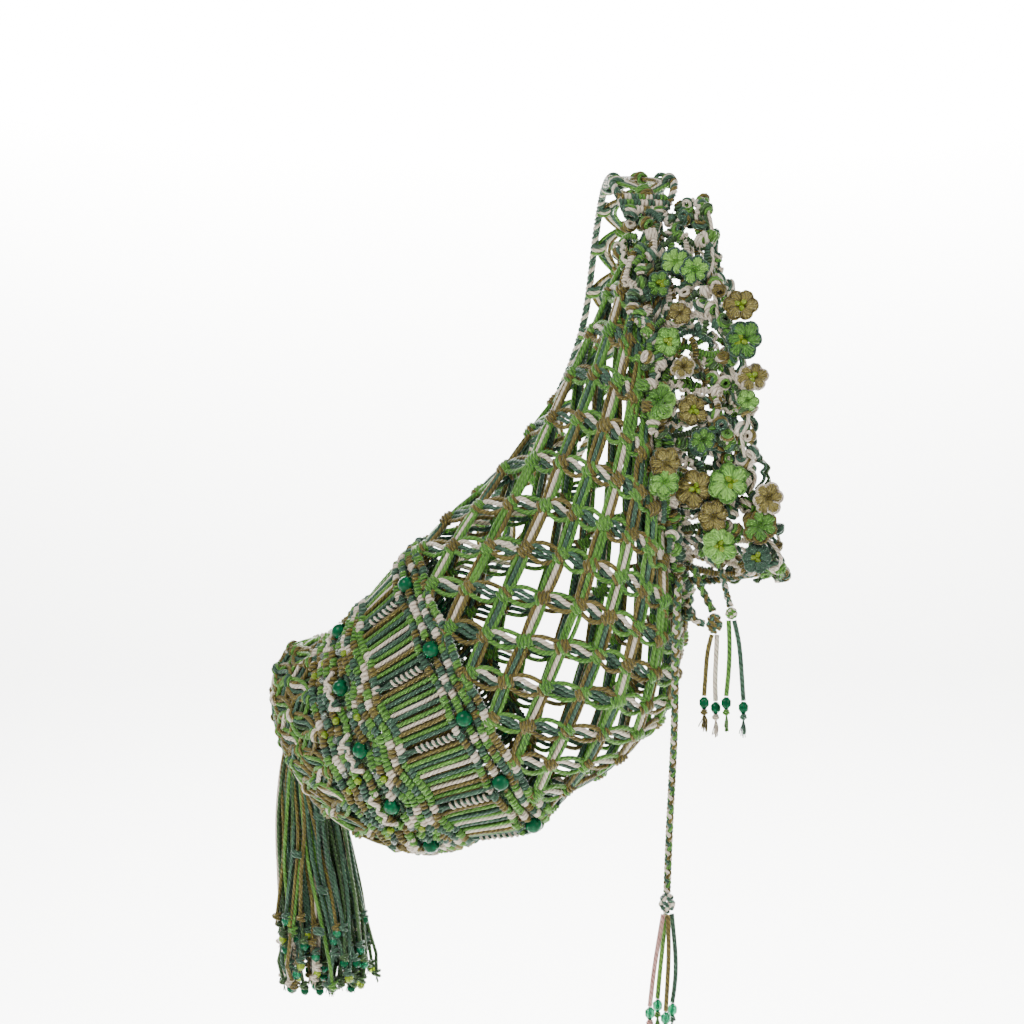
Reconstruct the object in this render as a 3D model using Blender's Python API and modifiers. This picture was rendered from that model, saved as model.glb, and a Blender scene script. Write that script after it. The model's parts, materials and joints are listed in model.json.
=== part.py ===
# A macrame sling bag, as it hangs from the wearer's shoulder by its strap.
# A knotted net tube lies slanting, with a hitched and beaded base low at the left and
# a drawn, frilled mouth high at the right. The strap goes over the shoulder, round the
# wearer and back to the base, where a tassel hangs. The origin is on the strap's
# underside, on top of the shoulder. Metres, +Z up, the wearer's back faces -Y.
import math

import bmesh
import bpy
import numpy as np
from mathutils import Vector
from mathutils.bvhtree import BVHTree

MM = 0.001
GAP = 0.3 * MM                  # clearance between two pieces that meet
CORD = 4.5 * MM                 # one macrame cord
SENNIT = 8.0 * MM               # four cords plaited round
THIN_SENNIT = 7.0 * MM
SHARP_ANGLE = math.radians(50)  # edges sharper than this stay crisp

KNOTS_ROUND = 15                # knots in each ring of the net
AROUND = 30                     # faces round the bands
T_STEP = 0.02                   # of a station, to find the surface's slope
BAND_THICK = 9.0 * MM
LADDER_THICK = 5.0 * MM
CAP_THICK = 7.0 * MM
RIM_RADIUS = 4.5 * MM
RIM_T = -0.3                    # the rim's place along the bag
RIM_SIDES = 8
RIM_AROUND = 56
FRILL_AROUND = 28
FRILL_THICK = 7.0 * MM
FRILL_CLEAR = 0.7 * MM          # from the rim to the frill's first row
FRILL_ROWS = 3
FRILL_RUFFLES = 7
FRILL_SWING = 13 * MM           # how far a ruffle stands off its ring
FRILL_FACING = 3.0              # a ruffle stands off to the viewer's side this much more
STRAP_THICK = 9.0 * MM
STRAP_SECTIONS = 41
STRAP_SHOULDER = 0.94           # of the half width is full thickness
COLLAR_RADIUS = 18.0 * MM
COLLAR_TAPER = 0.86             # its far end's radius as a share of its near end's
COLLAR_LENGTH = 22.0 * MM
COLLAR_SIDES = 20
COLLAR_SEAT = 3.3 * MM          # from the base's pole to the collar's near end
TASSEL_SECTIONS = 13
FLOWER_FINISHES = ("cord_light_green", "cord_olive", "cord_spruce")
FLOWER_THICK = 8.0 * MM
FLOWER_LOBES = 8
FLOWER_NOTCH = 0.86             # radius between two lobes, as a share
FLOWER_PROFILE = ((0.0, 0.86), (0.45, 1.0), (1.0, 0.6))    # depth and radius, as shares
FLOWER_CLEAR = 0.4 * MM         # from a flower to what it lies on
SEAT_STEP = 0.2 * MM            # how finely a flower feels for what lies behind it
SEAT_FROM = -112 * MM           # and from where to where, in y
SEAT_TO = -220 * MM
BEAD_END_RADIUS = 5.0           # mm, a drawstring bead
BEAD_END_HEIGHT = 6.0           # mm, half its height
BALL_SEGMENTS = 10              # a knot or bead: faces round it
BALL_RINGS = 6
TUBE_STEP = 2.5                 # diameters between two points of a cord

# Rings of the bag from its mouth (t = 0) to its base. A ring is two half ellipses on one
# chord, which leans from upright, and tilts about the chord so that the near side moves
# towards the base. Columns: t, x, y, z, half chord, lean, near, far, tilt.
STATIONS = (
    (-0.8, 28.0, -109.0, -211.0, 169.0, 2.0, 36.0, 32.0, 12.0),
    (0.0, 21.0, -107.0, -216.0, 171.0, 3.7, 42.0, 36.0, 12.0),
    (3.0, 8.5, -97.0, -265.0, 173.0, 9.9, 68.0, 50.0, 12.0),
    (6.0, -17.0, -83.0, -335.0, 164.0, 15.9, 78.0, 56.0, 12.0),
    (9.0, -73.0, -68.0, -411.0, 149.0, 21.7, 84.0, 60.0, 10.0),
    (12.0, -149.0, -55.0, -475.0, 141.0, 26.0, 86.0, 64.0, 8.0),
    (13.0, -162.0, -51.0, -490.0, 141.0, 26.6, 86.0, 64.0, 9.0),
    (14.6, -202.0, -42.0, -511.0, 125.0, 24.5, 82.0, 64.0, 15.0),
    (15.4, -218.0, -36.0, -522.0, 121.0, 24.3, 80.0, 62.0, 26.0),
    (16.4, -253.0, -19.0, -537.0, 109.0, 23.2, 72.0, 56.0, 34.0),
    (17.2, -290.0, -1.0, -534.0, 97.0, 22.5, 60.0, 46.0, 42.0),
    (17.8, -309.0, 11.0, -532.0, 72.0, 23.0, 42.0, 32.0, 50.0),
    (18.2, -313.0, 18.0, -532.0, 38.0, 23.0, 23.0, 18.0, 54.0),
    (18.4, -314.0, 21.0, -532.0, 22.0, 23.0, 16.0, 14.0, 55.0),
)
# The net's rings of knots, from the base to the mouth, and how far the knots of each
# third ring have slipped round, in knot spacings.
NET_RINGS = (11.45, 10.6, 9.8, 9.0, 8.0, 7.05, 6.05, 5.0, 4.0, 3.0, 2.2, 1.33)
NET_SLIP_RINGS = (0, 3, 6, 9, 11)
NET_SLIP = (0.0, 0.30, 0.75, 1.15, 1.55)
NET_PHASE = -0.17
NET_BORDER = 11.835             # the net's cords end here, against the beaded band
LINK_THICK = 8.0 * MM           # a net link is four cords together

# Where each piece of the tube starts and ends, in the stations' t, and its rings.
PIECES = {
    "bead_band_upper": (12.1, 13.15, 3),
    "cord_ladder": (13.17, 14.7, 3),
    "bead_band_lower": (14.72, 16.4, 6),
    "base_net": (16.42, 18.35, 9),
}
# The frill's free edge, as one more ring in the stations' columns after t.
FRILL_EDGE = (97.0, -112.0, -212.0, 176.0, 11.5, 54.0, 46.0, 12.0)

# The strap's centre line, from the mouth's top over the shoulder, down the wearer's
# front and up to the base's pole, with its width and the way its flat side faces out.
STRAP = (
    (3.0, -107.0, -39.3, 43.0, 0.0, -0.9, 0.4),
    (4.0, -88.0, -13.0, 64.0, 0.0, -0.8, 0.6),
    (1.0, -50.0, 1.5, 64.0, 0.0, -0.3, 0.95),
    (0.0, 0.0, 4.5, 64.0, 0.0, 0.0, 1.0),
    (-3.0, 52.0, -6.0, 64.0, 0.0, 0.4, 0.9),
    (-10.0, 100.0, -52.0, 62.0, 0.0, 0.85, 0.5),
    (-20.0, 132.0, -122.0, 60.0, 0.0, 0.97, 0.2),
    (-69.0, 175.0, -240.0, 58.0, 0.0, 1.0, 0.05),
    (-143.0, 188.0, -346.0, 56.0, 0.0, 1.0, -0.05),
    (-217.0, 170.0, -430.0, 52.0, -0.2, 1.0, -0.2),
    (-285.0, 112.0, -497.0, 44.0, -0.5, 0.85, -0.4),
    (-309.4, 43.9, -525.9, 34.0, -0.75, 0.5, -0.5),
)

# The tassel, down from its collar: centre, half width, half depth and how deep its
# strands part.
TASSEL = (
    (-330.6, 54.0, -549.4, 17.0, 14.0, 0.02),
    (-329.0, 58.0, -580.0, 25.0, 19.0, 0.04),
    (-324.0, 60.0, -610.0, 32.0, 23.0, 0.06),
    (-318.0, 60.0, -660.0, 38.0, 27.0, 0.08),
    (-312.0, 59.0, -710.0, 45.0, 31.0, 0.12),
    (-309.0, 58.0, -750.0, 51.0, 35.0, 0.20),
    (-308.0, 57.0, -785.0, 45.0, 31.0, 0.30),
    (-308.0, 57.0, -796.0, 28.0, 19.0, 0.32),
)
TASSEL_STRANDS = 16

# Flowers sewn on the near side of the frill: place and radius. They face the viewer.
FLOWERS = (
    (30.6, -87.4, 12.0), (46.0, -94.7, 12.0), (12.4, -108.3, 11.0),
    (31.5, -137.3, 10.0), (19.7, -160.9, 12.0), (34.2, -186.3, 10.0),
    (85.0, -131.0, 14.5), (87.7, -160.0, 15.5), (95.9, -196.3, 13.0),
    (90.4, -216.2, 9.0), (14.2, -219.0, 15.0), (40.5, -223.5, 13.0),
    (51.4, -250.7, 11.0), (17.0, -269.7, 13.0), (17.0, -292.4, 12.0),
    (44.2, -293.3, 16.0), (75.0, -289.7, 17.0), (60.5, -317.8, 14.0),
    (111.3, -304.2, 13.5), (65.9, -345.0, 14.5), (104.0, -331.4, 15.5),
    (101.3, -358.6, 13.0),
)

# Drawstring routes, hand laid, in order from where each leaves the mouth's rim.
LONG_END = ((32.0, -132.5, -371.0), (32.0, -140.5, -377.0), (31.0, -144.5, -390.0),
            (29.5, -143.0, -420.0), (28.5, -136.0, -506.0), (25.0, -131.0, -590.0),
            (22.0, -130.0, -664.0))
SHORT_LOOP = ((38.3, -118.2, -381.3), (39.2, -124.0, -390.0), (42.0, -131.0, -405.0),
              (48.0, -134.5, -415.5), (55.5, -134.0, -418.0))
SHORT_END_A = ((45.5, -132.4, -367.6), (46.5, -139.5, -369.5), (50.0, -143.0, -379.0),
               (56.0, -139.0, -392.0), (63.5, -134.5, -406.4))
SHORT_END_B = ((70.5, -134.0, -368.8), (71.0, -141.0, -370.5), (72.5, -145.5, -378.0),
               (75.0, -143.5, -389.0), (79.0, -140.0, -402.0))
# The knots that end the sennits: centre, radius and half height.
LONG_KNOT = (22.0, -130.0, -674.3, 8.0, 10.0)
SHORT_KNOT = (65.0, -134.0, -418.0, 8.0, 10.0)
SMALL_KNOT = (80.0, -139.5, -408.5, 6.0, 6.0)
LONG_TAILS = (
    ((18.4, -131.4), (15.0, -132.0, -704.0), (10.0, -133.0, -735.0), (6.0, -134.0, -768.0)),
    ((21.0, -126.0), (19.0, -123.0, -710.0), (16.0, -121.0, -740.0), (14.0, -120.0, -764.0)),
    ((22.5, -134.8), (23.0, -138.0, -712.0), (22.0, -140.0, -740.0), (20.0, -141.0, -771.0)),
    ((26.5, -129.5), (28.5, -129.0, -705.0), (30.0, -128.0, -740.0), (27.0, -128.0, -766.0)),
)
SHORT_TAILS = (
    ((62.7, -134.4), (59.5, -135.5, -440.0), (57.0, -136.0, -462.0), (55.5, -136.0, -484.0)),
    ((67.5, -133.0), (67.0, -132.5, -445.0), (66.0, -132.0, -470.0), (66.5, -131.0, -489.0)),
    ((77.6, -139.0), (78.2, -139.0, -428.0), (78.0, -138.5, -455.0), (75.5, -138.0, -484.0)),
    ((82.5, -140.5), (86.5, -141.0, -434.0), (89.0, -141.0, -460.0), (91.0, -140.0, -488.0)),
)

# Colours, sRGB as 0..1, and roughness.
FINISHES = {
    "cord_light_green": ((0.45, 0.62, 0.26), 0.6),
    "cord_olive": ((0.50, 0.43, 0.18), 0.6),
    "cord_spruce": ((0.27, 0.42, 0.34), 0.6),
    "cord_cream": ((0.90, 0.84, 0.77), 0.6),
    "glass_green": ((0.03, 0.35, 0.22), 0.15),
}


def clear_scene():
    for item in list(bpy.data.objects):
        bpy.data.objects.remove(item, do_unlink=True)


def linear(value):
    return value / 12.92 if value <= 0.04045 else ((value + 0.055) / 1.055) ** 2.4


def finish_for(node, finish):
    colour, roughness = FINISHES[finish]
    material = bpy.data.materials.new(node + "_" + finish)
    material.use_nodes = True
    shader = material.node_tree.nodes["Principled BSDF"]
    shader.inputs["Base Color"].default_value = [linear(c) for c in colour] + [1.0]
    shader.inputs["Roughness"].default_value = roughness
    return material


def put(name, data, finish):
    # Link one named object that holds the data, with a finish of its own.
    item = bpy.data.objects.new(name, data)
    collections["parts"].objects.link(item)
    data.materials.append(finish_for(name, finish))
    return item


def mesh_of(name, points, faces):
    mesh = bpy.data.meshes.new(name)
    mesh.from_pydata([tuple(p) for p in points], [], faces)
    edit = bmesh.new()
    edit.from_mesh(mesh)
    bmesh.ops.recalc_face_normals(edit, faces=edit.faces)
    edit.to_mesh(mesh)
    edit.free()
    mesh.shade_smooth()
    mesh.set_sharp_from_angle(angle=SHARP_ANGLE)
    return mesh


def spline_columns(knots, table):
    # A natural cubic through every column of a table: returns a function of t.
    knots = np.array(knots, dtype=float)
    table = np.array(table, dtype=float)
    count = len(knots)
    step = np.diff(knots)
    system = np.eye(count)
    right = np.zeros_like(table)
    for row in range(1, count - 1):
        system[row, row - 1] = step[row - 1]
        system[row, row] = 2 * (step[row - 1] + step[row])
        system[row, row + 1] = step[row]
        slopes = np.diff(table[row - 1:row + 2], axis=0) / step[row - 1:row + 1, None]
        right[row] = 6 * (slopes[1] - slopes[0])
    bend = np.linalg.solve(system, right)

    def at(t):
        row = int(np.clip(np.searchsorted(knots, t) - 1, 0, count - 2))
        span = step[row]
        before, after = knots[row + 1] - t, t - knots[row]
        return (bend[row] * before ** 3 / (6 * span) + bend[row + 1] * after ** 3 / (6 * span)
                + (table[row] / span - bend[row] * span / 6) * before
                + (table[row + 1] / span - bend[row + 1] * span / 6) * after)
    return at


station_at = spline_columns([row[0] for row in STATIONS], [row[1:] for row in STATIONS])


def ring_outline(row, samples=360):
    # The closed outline of one station's ring, from the middle of its near side, down.
    x, y, z, half_chord, lean, near, far, tilt = row
    lean, tilt = math.radians(lean), math.radians(tilt)
    down = np.array([math.sin(lean), 0.0, -math.cos(lean)])
    to_base = np.array([-math.cos(lean), 0.0, -math.sin(lean)])
    to_viewer = np.array([0.0, -math.cos(tilt), 0.0]) + to_base * math.sin(tilt)
    turn = np.linspace(0.0, 2 * math.pi, samples, endpoint=False)
    depth = np.where(np.cos(turn) > 0, near, far) * np.cos(turn)
    return (np.array([x, y, z]) + np.outer(half_chord * np.sin(turn), down)
            + np.outer(depth, to_viewer)) * MM


def even_points(row, count, phase=0.0):
    # Points at even steps round a ring, the first at phase steps past the near middle.
    loop = ring_outline(row)
    loop = np.vstack([loop, loop[:1]])
    walked = np.concatenate([[0.0], np.cumsum(np.linalg.norm(np.diff(loop, axis=0), axis=1))])
    wanted = ((np.arange(count) + phase) % count) / count * walked[-1]
    return np.stack([np.interp(wanted, walked, loop[:, axis]) for axis in range(3)], axis=1)


def ring_faces(rings, around):
    return [(r * around + k, r * around + (k + 1) % around,
             (r + 1) * around + (k + 1) % around, (r + 1) * around + k)
            for r in range(rings - 1) for k in range(around)]


def skin_rings(t, thickness):
    # The outer and the inner ring of the tube's wall, square to the tube's own surface, so
    # that two pieces that end at nearly the same t meet face to face.
    ring = even_points(station_at(t), AROUND)
    along = (even_points(station_at(t - T_STEP), AROUND)
             - even_points(station_at(t + T_STEP), AROUND))
    round_about = np.roll(ring, -1, axis=0) - np.roll(ring, 1, axis=0)
    outward = np.cross(along, round_about)
    outward *= thickness / 2 / np.linalg.norm(outward, axis=1)[:, None]
    if np.sum(outward * (ring - ring.mean(axis=0))) < 0:
        outward = -outward
    return ring + outward, ring - outward


def tube_piece(name, finish, thickness):
    # A stretch of the bag's tube: its outer skin from end to end, then its inner one back.
    start, end, rows = PIECES[name]
    pairs = [skin_rings(t, thickness) for t in np.linspace(start, end, rows)]
    rings = [pair[0] for pair in pairs] + [pair[1] for pair in reversed(pairs)]
    faces = ring_faces(2 * rows, AROUND)
    last = (2 * rows - 1) * AROUND
    faces += [(last + k, last + (k + 1) % AROUND, (k + 1) % AROUND, k) for k in range(AROUND)]
    return put(name, mesh_of(name, np.vstack(rings), faces), finish)


def wire(item, thickness):
    # Turn the faces of a coarse net into the links between them.
    links = item.modifiers.new("links", "WIREFRAME")
    links.thickness = thickness
    links.offset = 0.0
    links.use_even_offset = False
    links.use_boundary = True
    links.use_replace = True


def net_body():
    # Knots in rings. A knot has two links to the next ring, half a step down and up.
    slip = np.interp(range(len(NET_RINGS)), NET_SLIP_RINGS, NET_SLIP)
    rings = [even_points(station_at(NET_BORDER), KNOTS_ROUND, NET_PHASE)]
    for number, t in enumerate(NET_RINGS):
        phase = NET_PHASE + 0.5 * number - slip[number]
        rings.append(even_points(station_at(t), KNOTS_ROUND, phase))
    last = len(NET_RINGS)

    def knot(ring, step):
        return ring * KNOTS_ROUND + step % KNOTS_ROUND

    faces = []
    for step in range(KNOTS_ROUND):
        faces.append((knot(0, step), knot(0, step + 1), knot(1, step + 1), knot(2, step),
                      knot(1, step)))
        faces.append((knot(last - 1, step), knot(last, step), knot(last, step - 1)))
        for ring in range(1, last - 1):
            faces.append((knot(ring, step), knot(ring + 1, step), knot(ring + 2, step - 1),
                          knot(ring + 1, step - 1)))
    net = put("net_body", mesh_of("net_body", np.vstack(rings), faces), "cord_light_green")
    wire(net, LINK_THICK)
    return net


def rim_path():
    # The rim's centre line, and at each of its points the way to the frill's edge, square
    # to that line.
    ring = even_points(station_at(RIM_T), RIM_AROUND)
    ahead = np.roll(ring, -1, axis=0) - np.roll(ring, 1, axis=0)
    ahead /= np.linalg.norm(ahead, axis=1)[:, None]
    reach = even_points(FRILL_EDGE, RIM_AROUND) - ring
    reach -= ahead * np.sum(reach * ahead, axis=1)[:, None]
    reach /= np.linalg.norm(reach, axis=1)[:, None]
    return ring, ahead, reach


def mouth_rim():
    # A round roll of cords right round the mouth.
    ring, ahead, reach = rim_path()
    outward = np.cross(ahead, reach)
    rows = []
    for side in range(RIM_SIDES):
        turn = 2 * math.pi * side / RIM_SIDES
        rows.append(ring + (reach * math.cos(turn) + outward * math.sin(turn)) * RIM_RADIUS)
    faces = ring_faces(RIM_SIDES, RIM_AROUND)
    last = (RIM_SIDES - 1) * RIM_AROUND
    faces += [(last + k, last + (k + 1) % RIM_AROUND, (k + 1) % RIM_AROUND, k)
              for k in range(RIM_AROUND)]
    return put("mouth_rim", mesh_of("mouth_rim", np.vstack(rows), faces), "cord_spruce")


def mouth_frill():
    # A lace flounce: rows of openwork from the rim to a wavy free edge.
    ring, ahead, reach = rim_path()
    start = ring + reach * (RIM_RADIUS + FRILL_THICK / 2 + FRILL_CLEAR)
    start = start[::RIM_AROUND // FRILL_AROUND]
    edge = even_points(FRILL_EDGE, FRILL_AROUND)
    outward = edge - edge.mean(axis=0)
    outward[:, 1] *= FRILL_FACING
    outward /= np.linalg.norm(outward, axis=1)[:, None]
    wave = np.sin(2 * math.pi * FRILL_RUFFLES * np.arange(FRILL_AROUND) / FRILL_AROUND)
    rows = []
    for row in range(FRILL_ROWS + 1):
        share = row / FRILL_ROWS
        rows.append(start * (1 - share) + edge * share
                    + outward * (wave * FRILL_SWING * share)[:, None])
    faces = ring_faces(FRILL_ROWS + 1, FRILL_AROUND)
    frill = put("mouth_frill", mesh_of("mouth_frill", np.vstack(rows), faces), "cord_spruce")
    wire(frill, FRILL_THICK)
    return frill


def shape_of(item):
    # A piece as built: its points and its faces.
    bpy.context.view_layer.update()
    built = item.evaluated_get(bpy.context.evaluated_depsgraph_get())
    mesh = built.to_mesh()
    points = [vertex.co.copy() for vertex in mesh.vertices]
    faces = [tuple(face.vertices) for face in mesh.polygons]
    built.to_mesh_clear()
    return points, faces


def flower_shape(radius, thickness, place):
    # A scalloped rosette, domed to the viewer, its flat back at the place given.
    count = FLOWER_LOBES * 2
    points = []
    for depth, share in FLOWER_PROFILE:
        for step in range(count):
            turn = 2 * math.pi * step / count
            reach = radius * share * (1.0 if step % 2 else FLOWER_NOTCH)
            points.append(Vector((reach * math.cos(turn), -depth * thickness,
                                  reach * math.sin(turn))) + place)
    rows = len(FLOWER_PROFILE)
    faces = ring_faces(rows, count)
    faces.append(tuple(range(count - 1, -1, -1)))
    faces.append(tuple(range((rows - 1) * count, rows * count)))
    return points, faces


def flowers(carriers):
    # Each flower lies just in front of the lace, and of any flower it half covers: it
    # comes forward from behind them until a slightly bigger flower there is free.
    points, faces = [], []
    carried = [shape_of(item) for item in carriers]
    for number, (x, z, radius) in enumerate(FLOWERS, start=1):
        for more_points, more_faces in carried:
            first = len(points)
            points += more_points
            faces += [tuple(first + index for index in face) for face in more_faces]
        tree = BVHTree.FromPolygons(points, faces)
        radius *= MM
        place = Vector((x * MM, 0.0, z * MM))
        taken = [SEAT_FROM]
        for place.y in np.arange(SEAT_FROM, SEAT_TO, -SEAT_STEP):
            room = flower_shape(radius + FLOWER_CLEAR, FLOWER_THICK + 2 * FLOWER_CLEAR, place)
            if tree.overlap(BVHTree.FromPolygons(*room)):
                taken.append(place.y)
        place.y = min(taken) - SEAT_STEP - FLOWER_CLEAR
        name = "flower_%02d" % number
        data = mesh_of(name, *flower_shape(radius, FLOWER_THICK, place))
        carried = [shape_of(put(name, data, FLOWER_FINISHES[number % 3]))]


def strap():
    # A flat band, lofted along its centre line.
    rows = np.array(STRAP)
    gone = np.concatenate([[0.0], np.cumsum(np.linalg.norm(np.diff(rows[:, :3], axis=0), axis=1))])
    along = spline_columns(gone, rows)
    count = STRAP_SECTIONS
    spots = np.linspace(0.0, gone[-1], count)
    half = STRAP_THICK / 2
    points = []
    for spot in spots:
        row = along(spot)
        ahead = along(min(spot + 1.0, gone[-1]))[:3] - along(max(spot - 1.0, 0.0))[:3]
        ahead /= np.linalg.norm(ahead)
        outward = row[4:7] - ahead * np.dot(row[4:7], ahead)
        outward /= np.linalg.norm(outward)
        across = np.cross(ahead, outward)
        wide = row[3] * MM / 2
        for side, lift in ((-1, -0.5), (-STRAP_SHOULDER, -1), (STRAP_SHOULDER, -1), (1, -0.5),
                           (1, 0.5), (STRAP_SHOULDER, 1), (-STRAP_SHOULDER, 1), (-1, 0.5)):
            points.append(row[:3] * MM + across * wide * side + outward * half * lift)
    faces = ring_faces(count, 8)
    faces.append(tuple(range(7, -1, -1)))
    faces.append(tuple(range((count - 1) * 8, count * 8)))
    return put("shoulder_strap", mesh_of("shoulder_strap", points, faces), "cord_olive")


def base_collar():
    # A wrapped knot that closes the base's pole and holds the strap and the tassel.
    pole = station_at(PIECES["base_net"][1])
    lean, tilt = math.radians(pole[4]), math.radians(pole[7])
    out = Vector((-math.cos(lean) * math.cos(tilt), math.sin(tilt), -math.sin(lean) * math.cos(tilt)))
    shape = bmesh.new()
    bmesh.ops.create_cone(shape, cap_ends=True, segments=COLLAR_SIDES, radius1=COLLAR_RADIUS,
                          radius2=COLLAR_RADIUS * COLLAR_TAPER, depth=COLLAR_LENGTH)
    place = Vector(pole[:3]) * MM + out * (COLLAR_SEAT + COLLAR_LENGTH / 2)
    turn = Vector((0, 0, 1)).rotation_difference(out)
    bmesh.ops.transform(shape, matrix=turn.to_matrix().to_4x4(), verts=shape.verts)
    bmesh.ops.translate(shape, vec=place, verts=shape.verts)
    mesh = bpy.data.meshes.new("base_collar")
    shape.to_mesh(mesh)
    shape.free()
    mesh.shade_smooth()
    mesh.set_sharp_from_angle(angle=SHARP_ANGLE)
    put("base_collar", mesh, "cord_spruce")


def tassel():
    # A bundle of hanging cords that part into strands towards their ends.
    rows = np.array(TASSEL)
    at = spline_columns(-rows[:, 2], rows)
    around = TASSEL_STRANDS * 2
    depths = np.linspace(-rows[0, 2], -rows[-1, 2], TASSEL_SECTIONS)
    points = []
    for depth in depths:
        x, y, z, half_width, half_depth, parting = at(depth)
        for step in range(around):
            turn = 2 * math.pi * step / around
            reach = 1.0 - (parting if step % 2 else 0.0)
            points.append(np.array([x + half_width * reach * math.cos(turn),
                                    y + half_depth * reach * math.sin(turn), z]) * MM)
    faces = ring_faces(TASSEL_SECTIONS, around)
    faces.append(tuple(range(around - 1, -1, -1)))
    faces.append(tuple(range((TASSEL_SECTIONS - 1) * around, TASSEL_SECTIONS * around)))
    put("tassel", mesh_of("tassel", points, faces), "cord_spruce")


def cord(name, route, diameter, finish):
    # A tube along a smooth curve through the route's points.
    rows = np.array(route)
    gone = np.concatenate([[0.0], np.cumsum(np.linalg.norm(np.diff(rows, axis=0), axis=1))])
    along = spline_columns(gone, rows)
    count = max(4, int(gone[-1] * MM / (TUBE_STEP * diameter)) + 1)
    curve = bpy.data.curves.new(name, "CURVE")
    curve.dimensions = "3D"
    curve.bevel_depth = diameter / 2
    curve.bevel_resolution = 2
    curve.use_fill_caps = True
    line = curve.splines.new("POLY")
    line.points.add(count - 1)
    for point, spot in zip(line.points, np.linspace(0.0, gone[-1], count)):
        point.co = (*(along(spot) * MM), 1.0)
    put(name, curve, finish)


def ball(name, centre, radius, half_height, finish):
    # A knot or a bead.
    shape = bmesh.new()
    bmesh.ops.create_uvsphere(shape, u_segments=BALL_SEGMENTS, v_segments=BALL_RINGS,
                              radius=radius * MM)
    bmesh.ops.scale(shape, vec=(1.0, 1.0, half_height / radius), verts=shape.verts)
    bmesh.ops.translate(shape, vec=Vector(centre) * MM, verts=shape.verts)
    mesh = bpy.data.meshes.new(name)
    shape.to_mesh(mesh)
    shape.free()
    mesh.shade_smooth()
    put(name, mesh, finish)


def tails(name, tables):
    # Single cords from a knot's underside, each with a bead on its end.
    for number, (knot, route, finish) in enumerate(tables, start=1):
        x, y, z, radius, half_height = knot
        top_x, top_y = route[0][:2]
        inset = max(0.0, math.hypot(top_x - x, top_y - y) - CORD / MM / 2) / radius
        top_z = z - half_height * math.sqrt(1.0 - inset ** 2) - GAP / MM
        cord("%s_tail_%d" % (name, number), ((top_x, top_y, top_z), *route[1:]), CORD, finish)
        end_x, end_y, end_z = route[-1]
        bead = (end_x, end_y, end_z - BEAD_END_HEIGHT - GAP / MM)
        ball("%s_bead_%d" % (name, number), bead, BEAD_END_RADIUS, BEAD_END_HEIGHT, "glass_green")


def drawstring():
    cord("drawstring_long", LONG_END, SENNIT, "cord_spruce")
    cord("drawstring_loop", SHORT_LOOP, SENNIT, "cord_olive")
    cord("drawstring_short_a", SHORT_END_A, SENNIT, "cord_spruce")
    cord("drawstring_short_b", SHORT_END_B, THIN_SENNIT, "cord_olive")
    for name, knot in (("long", LONG_KNOT), ("short", SHORT_KNOT), ("small", SMALL_KNOT)):
        ball("drawstring_%s_knot" % name, knot[:3], knot[3], knot[4], "cord_olive")
    finishes = ("cord_cream", "cord_light_green", "cord_olive", "cord_spruce")
    tails("drawstring_long", zip([LONG_KNOT] * 4, LONG_TAILS, finishes))
    tails("drawstring_short", zip([SHORT_KNOT] * 2 + [SMALL_KNOT] * 2, SHORT_TAILS, finishes))


collections = {}


def main():
    clear_scene()
    for key, title in (("parts", "macrame_bag"), ("cutters", "macrame_bag_cutters")):
        collections[key] = bpy.data.collections.new(title)
        bpy.context.scene.collection.children.link(collections[key])
    net = net_body()
    tube_piece("bead_band_upper", "cord_cream", BAND_THICK)
    tube_piece("cord_ladder", "cord_spruce", LADDER_THICK)
    tube_piece("bead_band_lower", "cord_light_green", BAND_THICK)
    tube_piece("base_net", "cord_olive", CAP_THICK)
    rim = mouth_rim()
    frill = mouth_frill()
    base_collar()
    tassel()
    strap_band = strap()
    flowers((net, rim, frill, strap_band))
    drawstring()


main()
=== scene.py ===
import json
import math

import bpy
import bmesh
import numpy as np
from mathutils import Matrix, Vector

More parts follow.
